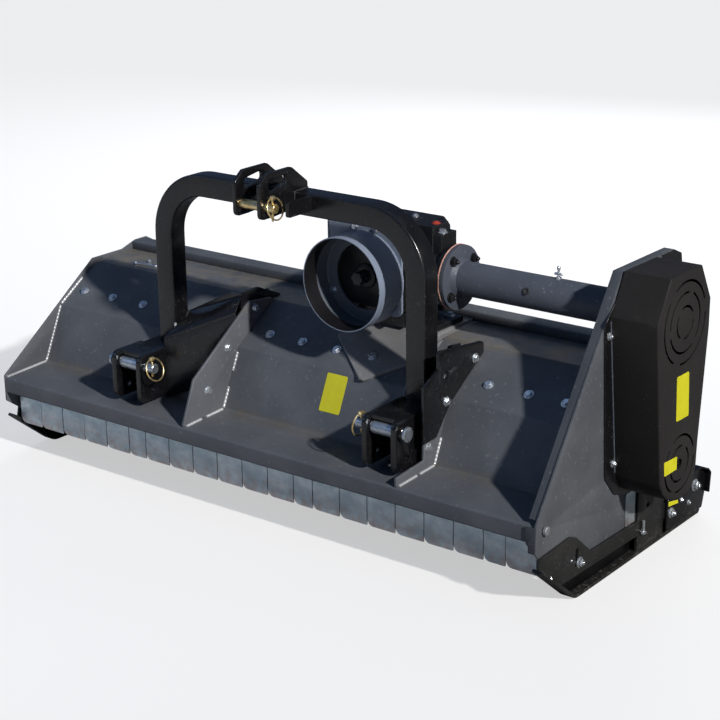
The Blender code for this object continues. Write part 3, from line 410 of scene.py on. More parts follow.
def arced(points, radii, count, closed=True):
    """Outline or path with rounded corners."""
    result = []
    size = len(points)
    for i, radius in enumerate(radii):
        here = Vector(points[i])
        if radius <= 0 or (not closed and i in (0, size - 1)):
            result.append(tuple(here))
            continue
        back = (Vector(points[i - 1]) - here).normalized()
        ahead = (Vector(points[(i + 1) % size]) - here).normalized()
        half = back.angle(ahead) / 2
        middle = here + (back + ahead).normalized() * (radius / math.sin(half))
        first = here + back * (radius / math.tan(half))
        last = here + ahead * (radius / math.tan(half))
        start = math.atan2(first.y - middle.y, first.x - middle.x)
        sweep = math.atan2(last.y - middle.y, last.x - middle.x) - start
        sweep = (sweep + math.pi) % (2 * math.pi) - math.pi
        for k in range(count + 1):
            angle = start + sweep * k / count
            result.append((middle.x + radius * math.cos(angle), middle.y + radius * math.sin(angle)))
    return result


def aside(path, distance):
    """Parallel of an open path, to the right of its running direction."""
    result = []
    for i, point in enumerate(path):
        near = [Vector(spot) for spot in path[max(i - 1, 0):i + 2]]
        ways = [second - first for first, second in zip(near, near[1:])]
        normals = [Vector((way.y, -way.x)).normalized() for way in ways]
        total = sum(normals, Vector((0.0, 0.0)))
        scale = distance * len(normals) / total.length_squared
        result.append((point[0] + total.x * scale, point[1] + total.y * scale))
    return result


def sheet_outline(path, thickness):
    """Outline of a sheet that has one face on the path."""
    return path + list(reversed(aside(path, thickness)))


def cad_copy(name):
    """Mesh of a CAD node with its split faces merged."""
    bm = bmesh.new()
    bm.from_mesh(nodes[name].data)
    bmesh.ops.remove_doubles(bm, verts=bm.verts, dist=0.00001)
    bmesh.ops.dissolve_limit(bm, angle_limit=0.01, verts=bm.verts, edges=bm.edges)
    return bm


def refined(name, finish, width, segments=2):
    """Copy of a CAD node with rounded edges, shown in its place."""
    shown(name + "_finished", cad_copy(name), finish, body_of_node[name], stands_for=(name,), bevel=width,
          segments=segments, moved=False)


def painted(finish, *names):
    for name in names:
        nodes[name].data.materials.clear()
        nodes[name].data.materials.append(finish)


# Node trees for what repeats or follows a line


def new_tree(name, sockets):
    tree = bpy.data.node_groups.new(name, "GeometryNodeTree")
    tree.interface.new_socket("Geometry", in_out="INPUT", socket_type="NodeSocketGeometry")
    for label, kind, value in sockets:
        socket = tree.interface.new_socket(label, in_out="INPUT", socket_type="NodeSocket" + kind)
        if value is not None:
            socket.default_value = value
    tree.interface.new_socket("Geometry", in_out="OUTPUT", socket_type="NodeSocketGeometry")
    return tree, tree.nodes.new("NodeGroupInput"), tree.nodes.new("NodeGroupOutput")


def finished_tree(tree, last, start, end):
    """Ends a tree with real geometry that wears the finish."""
    real = step(tree, "GeometryNodeRealizeInstances", [("Geometry", last.outputs[0])])
    done = step(tree, "GeometryNodeSetMaterial", [
        ("Geometry", real.outputs[0]), ("Material", start.outputs["Finish"])])
    tree.links.new(done.outputs[0], end.inputs[0])
    return tree


def repeat_tree():
    """Places a pattern piece on every point, turned to the point's facing and sized by it."""
    tree, start, end = new_tree("repeat_on_points", [
        ("Pattern", "Object", None), ("Finish", "Material", None), ("Spin", "Float", 1.0),
        ("Seed", "Int", 3)])
    info = step(tree, "GeometryNodeObjectInfo", [("Object", start.outputs["Pattern"])])
    facing = step(tree, "GeometryNodeInputNamedAttribute", values=[("Name", "facing")],
                  data_type="FLOAT_VECTOR")
    size = step(tree, "GeometryNodeInputNamedAttribute", values=[("Name", "size")], data_type="FLOAT")
    turn = step(tree, "FunctionNodeRandomValue", [("Seed", start.outputs["Seed"])], data_type="FLOAT")
    spin = math_step(tree, "MULTIPLY", turn.outputs[1], start.outputs["Spin"])
    angles = step(tree, "ShaderNodeCombineXYZ", [("Z", math_step(tree, "MULTIPLY", spin, 2 * math.pi))])
    first = step(tree, "FunctionNodeEulerToRotation", [(0, angles.outputs[0])])
    aim = step(tree, "FunctionNodeAlignRotationToVector",
               [("Rotation", first.outputs[0]), ("Vector", facing.outputs["Attribute"])], axis="Z")
    placed = step(tree, "GeometryNodeInstanceOnPoints", [
        ("Points", start.outputs["Geometry"]), ("Instance", info.outputs["Geometry"]),
        ("Rotation", aim.outputs[0]), ("Scale", size.outputs["Attribute"])])
    return finished_tree(tree, placed, start, end)


def bead_tree():
    """Weld bead: a rippled round section along every edge line."""
    tree, start, end = new_tree("weld_bead", [
        ("Bead Radius", "Float", 0.003), ("Ripple", "Float", 0.22), ("Step", "Float", 0.0022),
        ("Finish", "Material", None)])
    line = step(tree, "GeometryNodeMeshToCurve", [(0, start.outputs["Geometry"])])
    fine = step(tree, "GeometryNodeResampleCurve",
                [("Curve", line.outputs[0]), ("Length", start.outputs["Step"])], mode="LENGTH")
    index = step(tree, "GeometryNodeInputIndex")
    wave = math_step(tree, "SINE", math_step(tree, "MULTIPLY", index.outputs[0], 1.35))
    cloud = step(tree, "ShaderNodeTexNoise", values=[("Scale", 34.0), ("Detail", 3.0)])
    total = math_step(tree, "ADD", wave, cloud.outputs[0])
    share = math_step(tree, "ADD", math_step(tree, "MULTIPLY", total, start.outputs["Ripple"]), 0.9)
    radius = math_step(tree, "MULTIPLY", share, start.outputs["Bead Radius"])
    thick = step(tree, "GeometryNodeSetCurveRadius", [("Curve", fine.outputs[0]), ("Radius", radius)])
    section = step(tree, "GeometryNodeCurvePrimitiveCircle", values=[("Resolution", 7), ("Radius", 1.0)])
    swept = step(tree, "GeometryNodeCurveToMesh", [
        ("Curve", thick.outputs[0]), ("Profile Curve", section.outputs[0])], [("Fill Caps", True)])
    if "Scale" in swept.inputs:
        tree.links.new(radius, swept.inputs["Scale"])
    return finished_tree(tree, swept, start, end)


def tube_tree():
    """Square tube with rounded corners, bent along a line with the given bend radius."""
    tree, start, end = new_tree("bent_square_tube", [
        ("Side", "Float", 0.060), ("Corner", "Float", 0.006), ("Bend", "Float", 0.15),
        ("Bend Steps", "Int", 28), ("Finish", "Material", None)])
    line = step(tree, "GeometryNodeMeshToCurve", [(0, start.outputs["Geometry"])])
    bent = step(tree, "GeometryNodeFilletCurve", [
        ("Curve", line.outputs[0]), ("Count", start.outputs["Bend Steps"]),
        ("Radius", start.outputs["Bend"])], mode="POLY")
    square = step(tree, "GeometryNodeCurvePrimitiveQuadrilateral", [
        ("Width", start.outputs["Side"]), ("Height", start.outputs["Side"])])
    soft = step(tree, "GeometryNodeFilletCurve",
                [("Curve", square.outputs[0]), ("Radius", start.outputs["Corner"])], [("Count", 5)],
                mode="POLY")
    swept = step(tree, "GeometryNodeCurveToMesh", [
        ("Curve", bent.outputs[0]), ("Profile Curve", soft.outputs[0])], [("Fill Caps", True)])
    return finished_tree(tree, swept, start, end)


REPEAT = repeat_tree()
BEAD = bead_tree()
TUBE_BENT = tube_tree()


def carrier_of(points, edges=()):
    mesh = bpy.data.meshes.new("carrier")
    mesh.from_pydata([tuple(point) for point in points], edges, [])
    return linked("carrier", mesh)


def pattern_object(bm):
    mesh = bpy.data.meshes.new("pattern")
    bm.to_mesh(mesh)
    bm.free()
    return linked("pattern", mesh)


def discard(item):
    """Removes an object with its mesh."""
    mesh = item.data
    bpy.data.objects.remove(item, do_unlink=True)
    bpy.data.meshes.remove(mesh)


def taken(item):
    """Gives the mesh of an object as a bmesh and removes the object."""
    bm = bmesh.new()
    bm.from_mesh(item.data)
    discard(item)
    return bm


def grown(carrier, tree, inputs):
    """Runs a node tree on a carrier object and gives the plain mesh back as a bmesh."""
    change = carrier.modifiers.new("shape", "NODES")
    change.node_group = tree
    for item in tree.interface.items_tree:
        if item.item_type == "SOCKET" and item.in_out == "INPUT" and item.name in inputs:
            change[item.identifier] = inputs[item.name]
    applied(carrier)
    return taken(carrier)


def cut_by(bm, *tools):
    """Takes the tools away from a shape, one after the other."""
    body = pattern_object(bm)
    for tool in tools:
        cutter = pattern_object(tool)
        change = body.modifiers.new("cut", "BOOLEAN")
        change.operation = "DIFFERENCE"
        change.solver = "EXACT"
        change.object = cutter
        applied(body)
        discard(cutter)
    return taken(body)


def repeated(name, spots, pattern, finish, body="frame", slot=None, spin=1.0):
    """spots are (point, facing, size); the pattern piece stands on z = 0 and faces +z."""
    item = carrier_of([spot[0] for spot in spots])
    item.data.attributes.new("facing", "FLOAT_VECTOR", "POINT")
    item.data.attributes.new("size", "FLOAT", "POINT")
    for i, spot in enumerate(spots):
        item.data.attributes["facing"].data[i].vector = Vector(spot[1]).normalized()
        item.data.attributes["size"].data[i].value = spot[2]
    shape = pattern_object(pattern)
    bm = grown(item, REPEAT, {"Pattern": shape, "Finish": finish, "Spin": spin, "Seed": 7})
    discard(shape)
    shown(name, bm, finish, body, slot, smooth=30.0)


def welded(name, lines, radius, finish):
    """A weld bead along every line of points."""
    points = []
    edges = []
    for line in lines:
        start = len(points)
        points += line
        edges += [(start + i, start + i + 1) for i in range(len(line) - 1)]
    bm = grown(carrier_of(points, edges), BEAD, {"Bead Radius": radius, "Ripple": 0.11, "Finish": finish})
    shown(name, bm, finish, slot=slot_of_node["deck_shell"], smooth=60.0)


# Small hardware patterns, standing on z = 0


def hex_screw(across=0.0085, head=0.0058, washer=0.0115, stud=0.0):
    parts = []
    if washer:
        parts.append(lathe([(0.0, washer), (0.0018, washer), (0.0022, washer - 0.0006)], (0, 0), "Z", 28))
    base = 0.0022 if washer else 0.0
    parts.append(lathe([(base, across), (base + head * 0.78, across), (base + head, across * 0.84)], (0, 0),
                       "Z", 6))
    if stud:
        top = base + head
        parts.append(lathe([(top - 0.001, across * 0.52), (top + stud - 0.001, across * 0.52),
                            (top + stud, across * 0.42)], (0, 0), "Z", 14))
    return merged(*parts)


# Deck and sheet metal


def deck_line(offset):
    """Deck section from the lip to the top, moved outwards."""
    return aside([LIP_TOP, SEAM, KNEE, CREST, (0.540, CREST[1])], -offset)


def build_deck():
    path = [(0.014, 0.196), (0.0, 0.196), LIP_TOP, SEAM, KNEE, CREST, (0.638, CREST[1])]
    section = sheet_outline(arced(path, (0, 0.0055, 0.0065, 0.012, 0.012, 0.012, 0), 7, False), DECK_SHEET)
    stations = [DECK_X[0] + (DECK_X[1] - DECK_X[0]) * i / 24 for i in range(25)]
    skin = skinned([[(x, y, z) for y, z in section] for x in stations])
    brace = box(DECK_X, (0.600, 0.606), (0.460, 0.4990))
    shown("deck_skin", merged(skin, brace), deck_grey, stands_for=("deck_shell",), smooth=40.0)


build_deck()
for coat, width, names in (
        (end_grey, 0.0012, ("end_plate_left", "end_plate_right")),
        (deck_grey, 0.0012, ("rib_left", "rib_right", "rear_beam", "rear_door")),
        (black_gloss, 0.0014, ("hitch_bracket_left", "hitch_bracket_right", "top_link_plate_left",
                               "top_link_plate_right", "roller_bracket_left", "roller_bracket_right",
                               "belt_back_plate")),
        (skid_grey, 0.0012, ("skid_left", "skid_right")),
        (cast_black, 0.0015, ("bearing_left", "bearing_right")),
        (slate, 0.0010, ("cross_tube",)),
        (dark_steel, 0.0006, ("input_shaft",)),
        (zinc_pin, 0.0008, ("lower_pin_left", "lower_pin_right")),
        (gold_zinc, 0.0008, ("top_link_pin",))):
    for plain in names:
        refined(plain, coat, width)
refined("gearbox_housing", cast_black, 0.0028, 3)
painted(bright, "cross_shaft", "belt_idler")
painted(cast_black, "drive_pulley", "driven_pulley")
painted(rubber, "belt_set")
painted(zinc_bolt, "flap_rod")
rim_run = arced([(0.700, 0.1498), (0.772, 0.1458), (0.812, 0.1278), (0.8268, 0.1128), (0.8218, 0.057)],
                [0, 0.010, 0.006, 0.006, 0], 4, False)
for label, ends in (("left", (-0.9170, -0.9020)), ("right", (0.9240, 0.9390))):
    shown("roller_bracket_rim_" + label, prism(sheet_outline(rim_run, 0.004), *ends), black_gloss,
          slot="gloss_black_paint", bevel=0.0008)


def build_mount_plate():
    """The plate behind the gearbox, with the corners of its upright part rounded."""
    bm = cad_copy("gearbox_mount_plate")
    top = max(vert.co.z for vert in bm.verts) - 0.001
    corners = [edge for edge in bm.edges if min(vert.co.z for vert in edge.verts) > top
               and abs(edge.verts[0].co.y - edge.verts[1].co.y) > 0.002
               and abs(edge.verts[0].co.x - edge.verts[1].co.x) < 0.0005]
    bmesh.ops.bevel(bm, geom=corners, offset=0.016, segments=6, affect="EDGES")
    shown("gearbox_mount_plate_finished", bm, plate_grey, stands_for=("gearbox_mount_plate",), bevel=0.0012,
          moved=False)


build_mount_plate()


# Hitch arch


def build_arch():
    half, top = 0.452 - ARCH_TUBE / 2, 0.876 - ARCH_TUBE / 2
    depth = 0.197 + ARCH_TUBE / 2
    line = [(-half, depth, 0.370), (-half, depth, top), (half, depth, top), (half, depth, 0.370)]
    tube = grown(carrier_of(line, [(0, 1), (1, 2), (2, 3)]), TUBE_BENT,
                 {"Side": ARCH_TUBE, "Corner": 0.0065, "Bend": 0.150, "Bend Steps": 28,
                  "Finish": black_gloss})
    under = [(0.10, 0.30), (0.40, 0.30), (0.40, 0.525), (0.2308, 0.4150), (0.2235, 0.3915), (0.10, 0.3915)]
    lug_outline = [(0.105, 0.833), (0.199, 0.833), (0.199, 0.872), (0.105, 0.872)]
    lug = prism(arced(lug_outline, (0.006, 0, 0, 0.006), 5), 0.092, 0.102)
    shown("hitch_arch_tube", merged(cut_by(tube, prism(under, -0.5, 0.5)), lug), black_gloss,
          stands_for=("hitch_arch",), smooth=40.0)


build_arch()


# Sheets that close the hitch brackets towards the ribs


def sheet_between(corners, thickness):
    """Flat sheet with the given corners; thickness is the step from its outer to its inner face."""
    return skinned([corners, [Vector(corner) + Vector(thickness) for corner in corners]])


gusset = sheet_between([(-0.3200, 0.1687, 0.2700), (-0.1983, 0.2330, 0.4080), (-0.1983, 0.2330, 0.4990),
                        (-0.3780, 0.1380, 0.4190), (-0.3780, 0.1380, 0.2490)], (-0.0028, 0.0053, 0.0))
roof = sheet_between([(-0.1983, 0.2320, 0.5010), (-0.1983, 0.2610, 0.5470), (-0.3780, 0.2610, 0.4730),
                      (-0.3780, 0.1370, 0.4210)], (0.0, 0.0, -0.0060))
shown("bracket_web_left", merged(gusset, roof), black_gloss, slot="gloss_black_paint", bevel=0.0008)
shown("bracket_plate_right", prism(
    [(0.105, 0.322), (0.1584, 0.3242), (0.2121, 0.3892), (0.2300, 0.4128), (0.178, 0.4128), (0.169, 0.4228),
     (0.169, 0.500), (0.105, 0.470)], 0.5074, 0.5152), black_gloss, slot="gloss_black_paint", bevel=0.0008)


# Pins and linch pins


def hoop(radius):
    """Closed wire ring around the X axis."""
    wire = 0.0022
    turns, sides = 56, 10
    rings = []
    for i in range(turns):
        angle = 2 * math.pi * i / turns
        section = [(wire * math.sin(around), radius + wire * math.cos(around))
                   for around in [2 * math.pi * k / sides for k in range(sides)]]
        rings.append([(x, reach * math.sin(angle), reach * math.cos(angle)) for x, reach in section])
    return skinned(rings, True)


def build_linch_pin(node, x, centre, tilt, radius, tail):
    y, z = centre
    shank = lathe([(z - tail, 0.0020), (z - tail + 0.002, 0.0032), (z + 0.022, 0.0032)], (x, y), "Z", 20)
    head = lathe([(y - 0.006, 0.0050), (y - 0.005, 0.0062), (y + 0.005, 0.0062), (y + 0.006, 0.0050)],
                 (x, z + 0.0260), "Y", 24)
    ring = hoop(radius)
    bmesh.ops.transform(ring, matrix=Matrix.Rotation(-tilt, 4, "Y"), verts=ring.verts)
    shift = (x + radius * math.sin(tilt), y, z + 0.0275 - radius * math.cos(tilt))
    bmesh.ops.translate(ring, vec=shift, verts=ring.verts)
    shown(node + "_sprung", merged(shank, head, ring), gold_zinc, stands_for=(node,))


build_linch_pin("linch_pin_top", 0.0630, TOP_PIN, 0.30, 0.0285, 0.034)
build_linch_pin("linch_pin_left", -0.3550, LOWER_PIN, 0.34, 0.031, 0.024)
build_linch_pin("linch_pin_right", 0.3550, LOWER_PIN, -0.12, 0.031, 0.024)


def sleeve(x0, x1, inner, outer, centre):
    """Short tube along X with softened outer edges."""
    edge = 0.0008
    profile = [(x0, inner), (x0, outer - edge), (x0 + edge, outer), (x1 - edge, outer), (x1, outer - edge),
               (x1, inner)]
    return lathe(profile, centre, "X", 36, True)


for label, side in (("left", -1), ("right", 1)):
    spans = [sorted((side * a, side * b)) for a, b in ((0.3950, 0.4600), (0.4803, 0.4910))]
    shown("lower_pin_spacer_" + label, sleeve(*spans[0], 0.0145, 0.0175, LOWER_PIN), zinc_pin,
          slot="zinc_plate")
    shown("lower_pin_collar_" + label, sleeve(*spans[1], 0.0145, 0.0205, LOWER_PIN), black_gloss,
          slot="gloss_black_paint")


# Belt cover, and a thin black sheet on the top rear corner of the end plate behind it

corner = [(0.5475, 0.7660), (0.6125, 0.7662), (0.6510, 0.7494), (0.6610, 0.7000), (0.5945, 0.6920)]
shown("back_plate_corner", prism(corner, 0.9082, 0.9096), black_gloss, slot="gloss_black_paint")
COVER_OUTLINE = [
    (0.5150, 0.7700), (0.5670, 0.6780), (0.5670, 0.6050), (0.5560, 0.4900), (0.5380, 0.3160),
    (0.5350, 0.2510), (0.5225, 0.2120), (0.5090, 0.1930), (0.4570, 0.1870), (0.3930, 0.2060),
    (0.3660, 0.2290), (0.3480, 0.2610), (0.3040, 0.6450), (0.3030, 0.6720), (0.3590, 0.7715),
]
# Rings of vent slots: centre, then ring radius, first angle and sweep of one slot, repeated three times
VENTS = (
    ((0.4380, 0.6460), ((0.1020, 22, 98), (0.0740, 80, 100), (0.0400, 30, 85))),
    ((0.4440, 0.2850), ((0.0730, 20, 98), (0.0450, 80, 85))),
)


def arc_slot(centre, radius, start, sweep):
    """Slot along an arc with round ends, through the face of the cover."""
    width = 0.0062
    count = 18
    turns = [math.radians(start + sweep * i / count) for i in range(count + 1)]
    outline = []
    for side, arc, half_turn in ((1, turns, 0.0), (-1, turns[::-1], math.pi)):
        outline += on_circle(centre, radius + side * width / 2, arc)
        middle = on_circle(centre, radius, arc[-1:])[0]
        outline += on_circle(middle, width / 2, [arc[-1] + half_turn + math.pi * k / 4 for k in (1, 2, 3)])
    return prism(outline, COVER_X - 0.010, COVER_X + 0.010)


def build_cover():
    """Folded sheet box with soft outer edges, hollow inside, and its vent slots cut."""
    shell = prism(COVER_OUTLINE, 0.9126, COVER_X)
    rim = [edge for edge in shell.edges if all(abs(vert.co.x - COVER_X) < 1e-6 for vert in edge.verts)]
    bmesh.ops.bevel(shell, geom=rim, offset=0.0045, segments=4, profile=0.5, affect="EDGES")
    looped = [COVER_OUTLINE[-1]] + COVER_OUTLINE + [COVER_OUTLINE[0]]
    hollow = prism(aside(looped, 0.003)[1:-1], 0.90, COVER_X - 0.003)
    slots = [arc_slot(centre, radius, start + 120 * k, sweep)
             for centre, rings in VENTS for radius, start, sweep in rings for k in range(3)]
    slots.append(lathe([(COVER_X - 0.010, 0.0130), (COVER_X + 0.010, 0.0130)], VENTS[1][0], "X", 32))
    shown("belt_cover_finished", cut_by(shell, hollow, merged(*slots)), cover_black,
          stands_for=("belt_cover",), smooth=26.0)


build_cover()
# Painted highlight: a thin lighter slate strip along the seam of the cover and its back plate, standing for
# the bright edge there.
seam_run = [(0.3030, 0.6600), (0.3040, 0.6450), (0.3475, 0.2650)]
shown("cover_flange", prism(sheet_outline(seam_run, 0.0034), 0.9126, 0.9142), slate,
      slot="satin_black_cover")


# Drive line


def build_shield():
    wall = [(0.2000, 0.1200), (0.1992, 0.1216), (0.2000, 0.1236), (0.2030, 0.1240), (0.2060, 0.1235)]
    drum = lathe(wall + [(0.3010, 0.1235), (0.3040, 0.1205), (0.3040, 0.0890), (0.2970, 0.0890),
                         (0.2970, 0.1165), (0.2940, 0.1195), (0.2060, 0.1195)], (PTO_X, SHAFT[1]), "Y", 96,
                         True)
    outline = arced([(0.072, 0.560), (0.308, 0.560), (0.308, 0.800), (0.072, 0.800)], [0.018] * 4, 6)
    turns = [2 * math.pi * i / len(outline) + 1.25 * math.pi for i in range(len(outline))]
    inner = on_circle((PTO_X, SHAFT[1]), 0.105, turns)
    rings = ((outline, 0.2980), (outline, 0.3050), (inner, 0.3050), (inner, 0.2980))
    back_plate = skinned([[(u, y, v) for u, v in ring] for ring, y in rings], True)
    shown("pto_shield_drum", merged(drum, back_plate), shield_slate, stands_for=("pto_shield",), smooth=40.0)


build_shield()
seal = [(0.2960, 0.0190), (0.2960, 0.0300), (0.2975, 0.0325), (0.2995, 0.0330), (0.2995, 0.0190)]
shown("input_seal", lathe(seal, (PTO_X, SHAFT[1]), "Y", 48, True), cast_black, slot="black_cast_iron")
shown("flange_gasket", lathe([(0.3838, 0.060), (0.3838, 0.0862), (0.3866, 0.0862), (0.3866, 0.060)],
                             SHAFT, "X", 64, True), gasket_paper, slot="black_cast_iron")
shown("filler_plug", merged(
    lathe([(0.7700, 0.0125), (0.7840, 0.0125), (0.7850, 0.0115)], (0.320, 0.434), "Z", 6),
    lathe([(0.7845, 0.0080), (0.7870, 0.0080), (0.7882, 0.0066)], (0.320, 0.434), "Z", 24)), red_plastic,
    slot="black_cast_iron")
shown("breather", merged(
    lathe([(0.6940, 0.0075), (0.7010, 0.0075), (0.7015, 0.0032), (0.7200, 0.0032), (0.7205, 0.0046),
           (0.7265, 0.0046), (0.7290, 0.0030)], (0.6880, SHAFT[0]), "Z", 18),
    lathe([(0.6770, 0.0026), (0.6780, 0.0034), (0.6980, 0.0034), (0.6990, 0.0026)], (SHAFT[0], 0.7090), "X",
          14)),
    zinc_bolt, slot="zinc_plate")
plug_way = Vector((0.0, -0.0444, 0.0127)).normalized()
plug = [(0.0, 0.0090), (0.0016, 0.0090), (0.0020, 0.0084), (0.0020, 0.0056), (0.0008, 0.0048)]
repeated("tube_plug", [(Vector((0.6228, SHAFT[0], SHAFT[1])) + plug_way * 0.0450, plug_way, 1.0)],
         lathe(plug, (0, 0), "Z", 24), dark_steel, slot="slate_grey_paint")


def build_rotor():
    """Rotor tube with stub shafts, and the flails repeated round it in a spiral."""
    y, z = ROTOR
    ends = [(-0.9430, 0.0185), (-0.9420, 0.0200), (-0.8500, 0.0200), (-0.8495, 0.034), (-0.8400, 0.036),
            (-0.8395, 0.068), (-0.8375, 0.070), (0.8475, 0.070), (0.8495, 0.068), (0.8500, 0.036),
            (0.8600, 0.034), (0.8605, 0.0200), (0.9950, 0.0200), (0.9960, 0.0185)]
    shown("rotor_tube", lathe(ends, ROTOR, "X", 48), dark_steel, "rotor", stands_for=("rotor",))
    ear = arced([(-0.022, -0.010), (0.022, -0.010), (0.014, 0.042), (0.0, 0.049), (-0.014, 0.042)],
                (0, 0, 0.008, 0.010, 0.008), 4)
    ears = [prism(ear, a, a + 0.007, "Y") for a in (-0.0190, 0.0120)]
    blade = [(-0.010, 0.022), (-0.012, 0.080), (-0.030, 0.112), (-0.022, 0.125), (0.030, 0.123),
             (0.030, 0.106), (0.012, 0.080), (0.010, 0.022)]
    flail = prism(arced(blade, (0.004, 0.010, 0.004, 0, 0.003, 0.004, 0.010, 0.004), 3), -0.0110, 0.0110, "Y")
    foot = prism([(-0.030, 0.112), (-0.022, 0.1248), (0.030, 0.1228), (0.030, 0.107), (0.012, 0.096),
                  (-0.012, 0.096)],
                 -0.0300, 0.0300, "Y")
    pivot = lathe([(-0.0260, 0.0070), (-0.0255, 0.0078), (0.0255, 0.0078), (0.0260, 0.0070)], (0.0, 0.034),
                  "Y", 14)
    pattern = merged(*ears, flail, foot, pivot)
    bmesh.ops.bevel(pattern, geom=[edge for edge in pattern.edges if edge.calc_face_angle(0.0) > 0.6],
                    offset=0.0008, segments=1, affect="EDGES")
    bmesh.ops.rotate(pattern, matrix=Matrix.Rotation(-math.pi / 2, 3, "Z"), verts=pattern.verts)
    spots = []
    for i in range(FLAILS):
        angle = FLAIL_TURN * i
        way = Vector((0.0, math.cos(angle), math.sin(angle)))
        spots.append((Vector((-0.785 + i * 1.58 / (FLAILS - 1), y, z)) + way * 0.0700, way, 1.0))
    repeated("rotor_flails", spots, pattern, dark_steel, "rotor", "black_cast_iron", spin=0.0)


build_rotor()


# Front flaps


def build_flaps():
    """Zinc plates rolled round the rod; three of them are narrower."""
    widths = [0.723 if i in (5, 12, 19) else 1.0 for i in range(FLAPS)]
    unit = (FLAP_ROW[1] - FLAP_ROW[0]) / sum(widths)
    edge = FLAP_ROW[0]
    y, z = ROD
    gaps = [0.0003 if i in (1, 3) else 0.001 for i in range(FLAPS + 1)]
    turns = [-0.35 + (2 * math.pi - 0.65) * k / 20 for k in range(21)]
    for i, width in enumerate(widths):
        ends = (edge + gaps[i], edge + width * unit - gaps[i + 1])
        edge += width * unit
        outline = arced([(ends[0], 0.0987), (ends[1], 0.0987), (ends[1], z), (ends[0], z)],
                        (0.017, 0.002, 0, 0), 7)
        sheet = prism(outline, y + 0.0077, y + 0.0120, "Y")
        bmesh.ops.bevel(sheet, geom=list(sheet.edges), offset=0.0007, segments=2, affect="EDGES")
        roll = prism(on_circle(ROD, 0.0120, turns) + on_circle(ROD, 0.0077, turns[::-1]), *ends)
        name = "flap_%02d" % (i + 1)
        shown(name + "_plate", merged(sheet, roll), zinc_flap, name + "_body", stands_for=(name,))


build_flaps()


# Bolts and nuts

RIGHTWARD = Vector((1.0, 0.0, 0.0))
FORWARD = Vector((0.0, -1.0, 0.0))
UPWARD = Vector((0.0, 0.0, 1.0))
SLOPE_UP = Vector((0.0, -0.541, 0.841))


def facing(way, *spots):
    """Spots (x, y, z, size) for repeated() that all face one way."""
    return [(Vector(spot[:3]), way, spot[3]) for spot in spots]


deck_bolts = facing(SLOPE_UP, *[(x, 0.2850, 0.4396, 1.0) for x in (
    -0.831, -0.716, -0.596, -0.122, -0.009, 0.107, 0.584, 0.702, 0.808)])
deck_bolts.append((Vector((0.228, 0.2850, 0.4396)) + SLOPE_UP * 0.0084, SLOPE_UP, 1.0))
repeated("deck_bolts", deck_bolts, hex_screw(0.0096, 0.0064, 0.0135), zinc_bolt, slot="zinc_plate")

rib_bolts = facing(
    RIGHTWARD, (RIB_LEFT, 0.304, 0.498, 0.95), (RIB_LEFT, 0.1865, 0.415, 0.95),
    (RIB_LEFT, 0.101, 0.317, 0.95), (0.5156, 0.3255, 0.487, 0.95), (0.5154, 0.1997, 0.4080, 0.95),
    (RIB_RIGHT, 0.134, 0.305, 0.95))
rib_bolts += facing(-RIGHTWARD, (-0.2066, 0.304, 0.520, 0.95), (-0.2066, 0.375, 0.522, 0.95))
repeated("rib_bolts", rib_bolts, hex_screw(0.0100, 0.0068, 0.0135), zinc_bolt, slot="zinc_plate")

flange = on_circle(SHAFT, 0.066, [math.radians(38 + 90 * k) for k in range(4)])
repeated("flange_nuts", facing(RIGHTWARD, *[(0.4000, y, z, 1.12) for y, z in flange]),
         hex_screw(0.0088, 0.0095, 0.0115, 0.006), black_gloss, slot="gloss_black_paint")

side_bolts = facing(
    RIGHTWARD, (0.9123, 0.296, 0.626, 0.9), (0.9123, 0.336, 0.291, 0.9), (0.9165, 0.182, 0.089, 1.20),
    (0.9165, 0.144, 0.106, 0.35), (0.9165, 0.049, 0.098, 0.50), (0.9248, 0.757, 0.096, 1.5),
    (0.9248, 0.630, 0.061, 1.25), (0.9248, 0.686, 0.078, 0.62), (0.9248, 0.728, 0.056, 0.62))
repeated("side_bolts", side_bolts, hex_screw(stud=0.004), zinc_bolt, slot="zinc_plate")

left_bolts = facing(
    -RIGHTWARD, (-0.8945, 0.182, 0.089, 1.25), (-0.8945, 0.120, 0.120, 1.0), (-0.9028, 0.763, 0.092, 1.4),
    (-0.9028, 0.633, 0.060, 1.15),
    *[(-0.8985, ROTOR[0] + a, ROTOR[1] + b, 1.1) for a in (-0.042, 0.042) for b in (-0.042, 0.042)])
repeated("left_bolts", left_bolts, hex_screw(stud=0.004), zinc_bolt, slot="zinc_plate")

gear_bolts = facing(FORWARD, (0.162, 0.2980, 0.781, 0.9), (0.228, 0.2980, 0.781, 0.9),
                    (0.088, 0.2980, 0.600, 0.9), (0.292, 0.2980, 0.600, 0.9))
gear_bolts += facing(
    UPWARD, (0.200, 0.392, 0.7852, 0.85), (0.162, 0.458, 0.7852, 0.85), (0.238, 0.458, 0.7852, 0.85),
    (0.3450, 0.4260, 0.7642, 1.25), *[(x, y, 0.5262, 1.2) for x in (0.335, 0.105) for y in (0.385, 0.478)])
repeated("gearbox_bolts", gear_bolts, hex_screw(), zinc_bolt, slot="zinc_plate")


# Weld beads


def stitches(x, *spans):
    """Pieces of the deck line at x; a span names a straight run and where on it the bead starts and ends."""
    corners = deck_line(0.0015)
    lines = []
    for run, start, end in spans:
        first, last = Vector(corners[run]), Vector(corners[run + 1])
        lines.append([(x, *first.lerp(last, share)) for share in (start, (start + end) / 2, end)])
    return lines


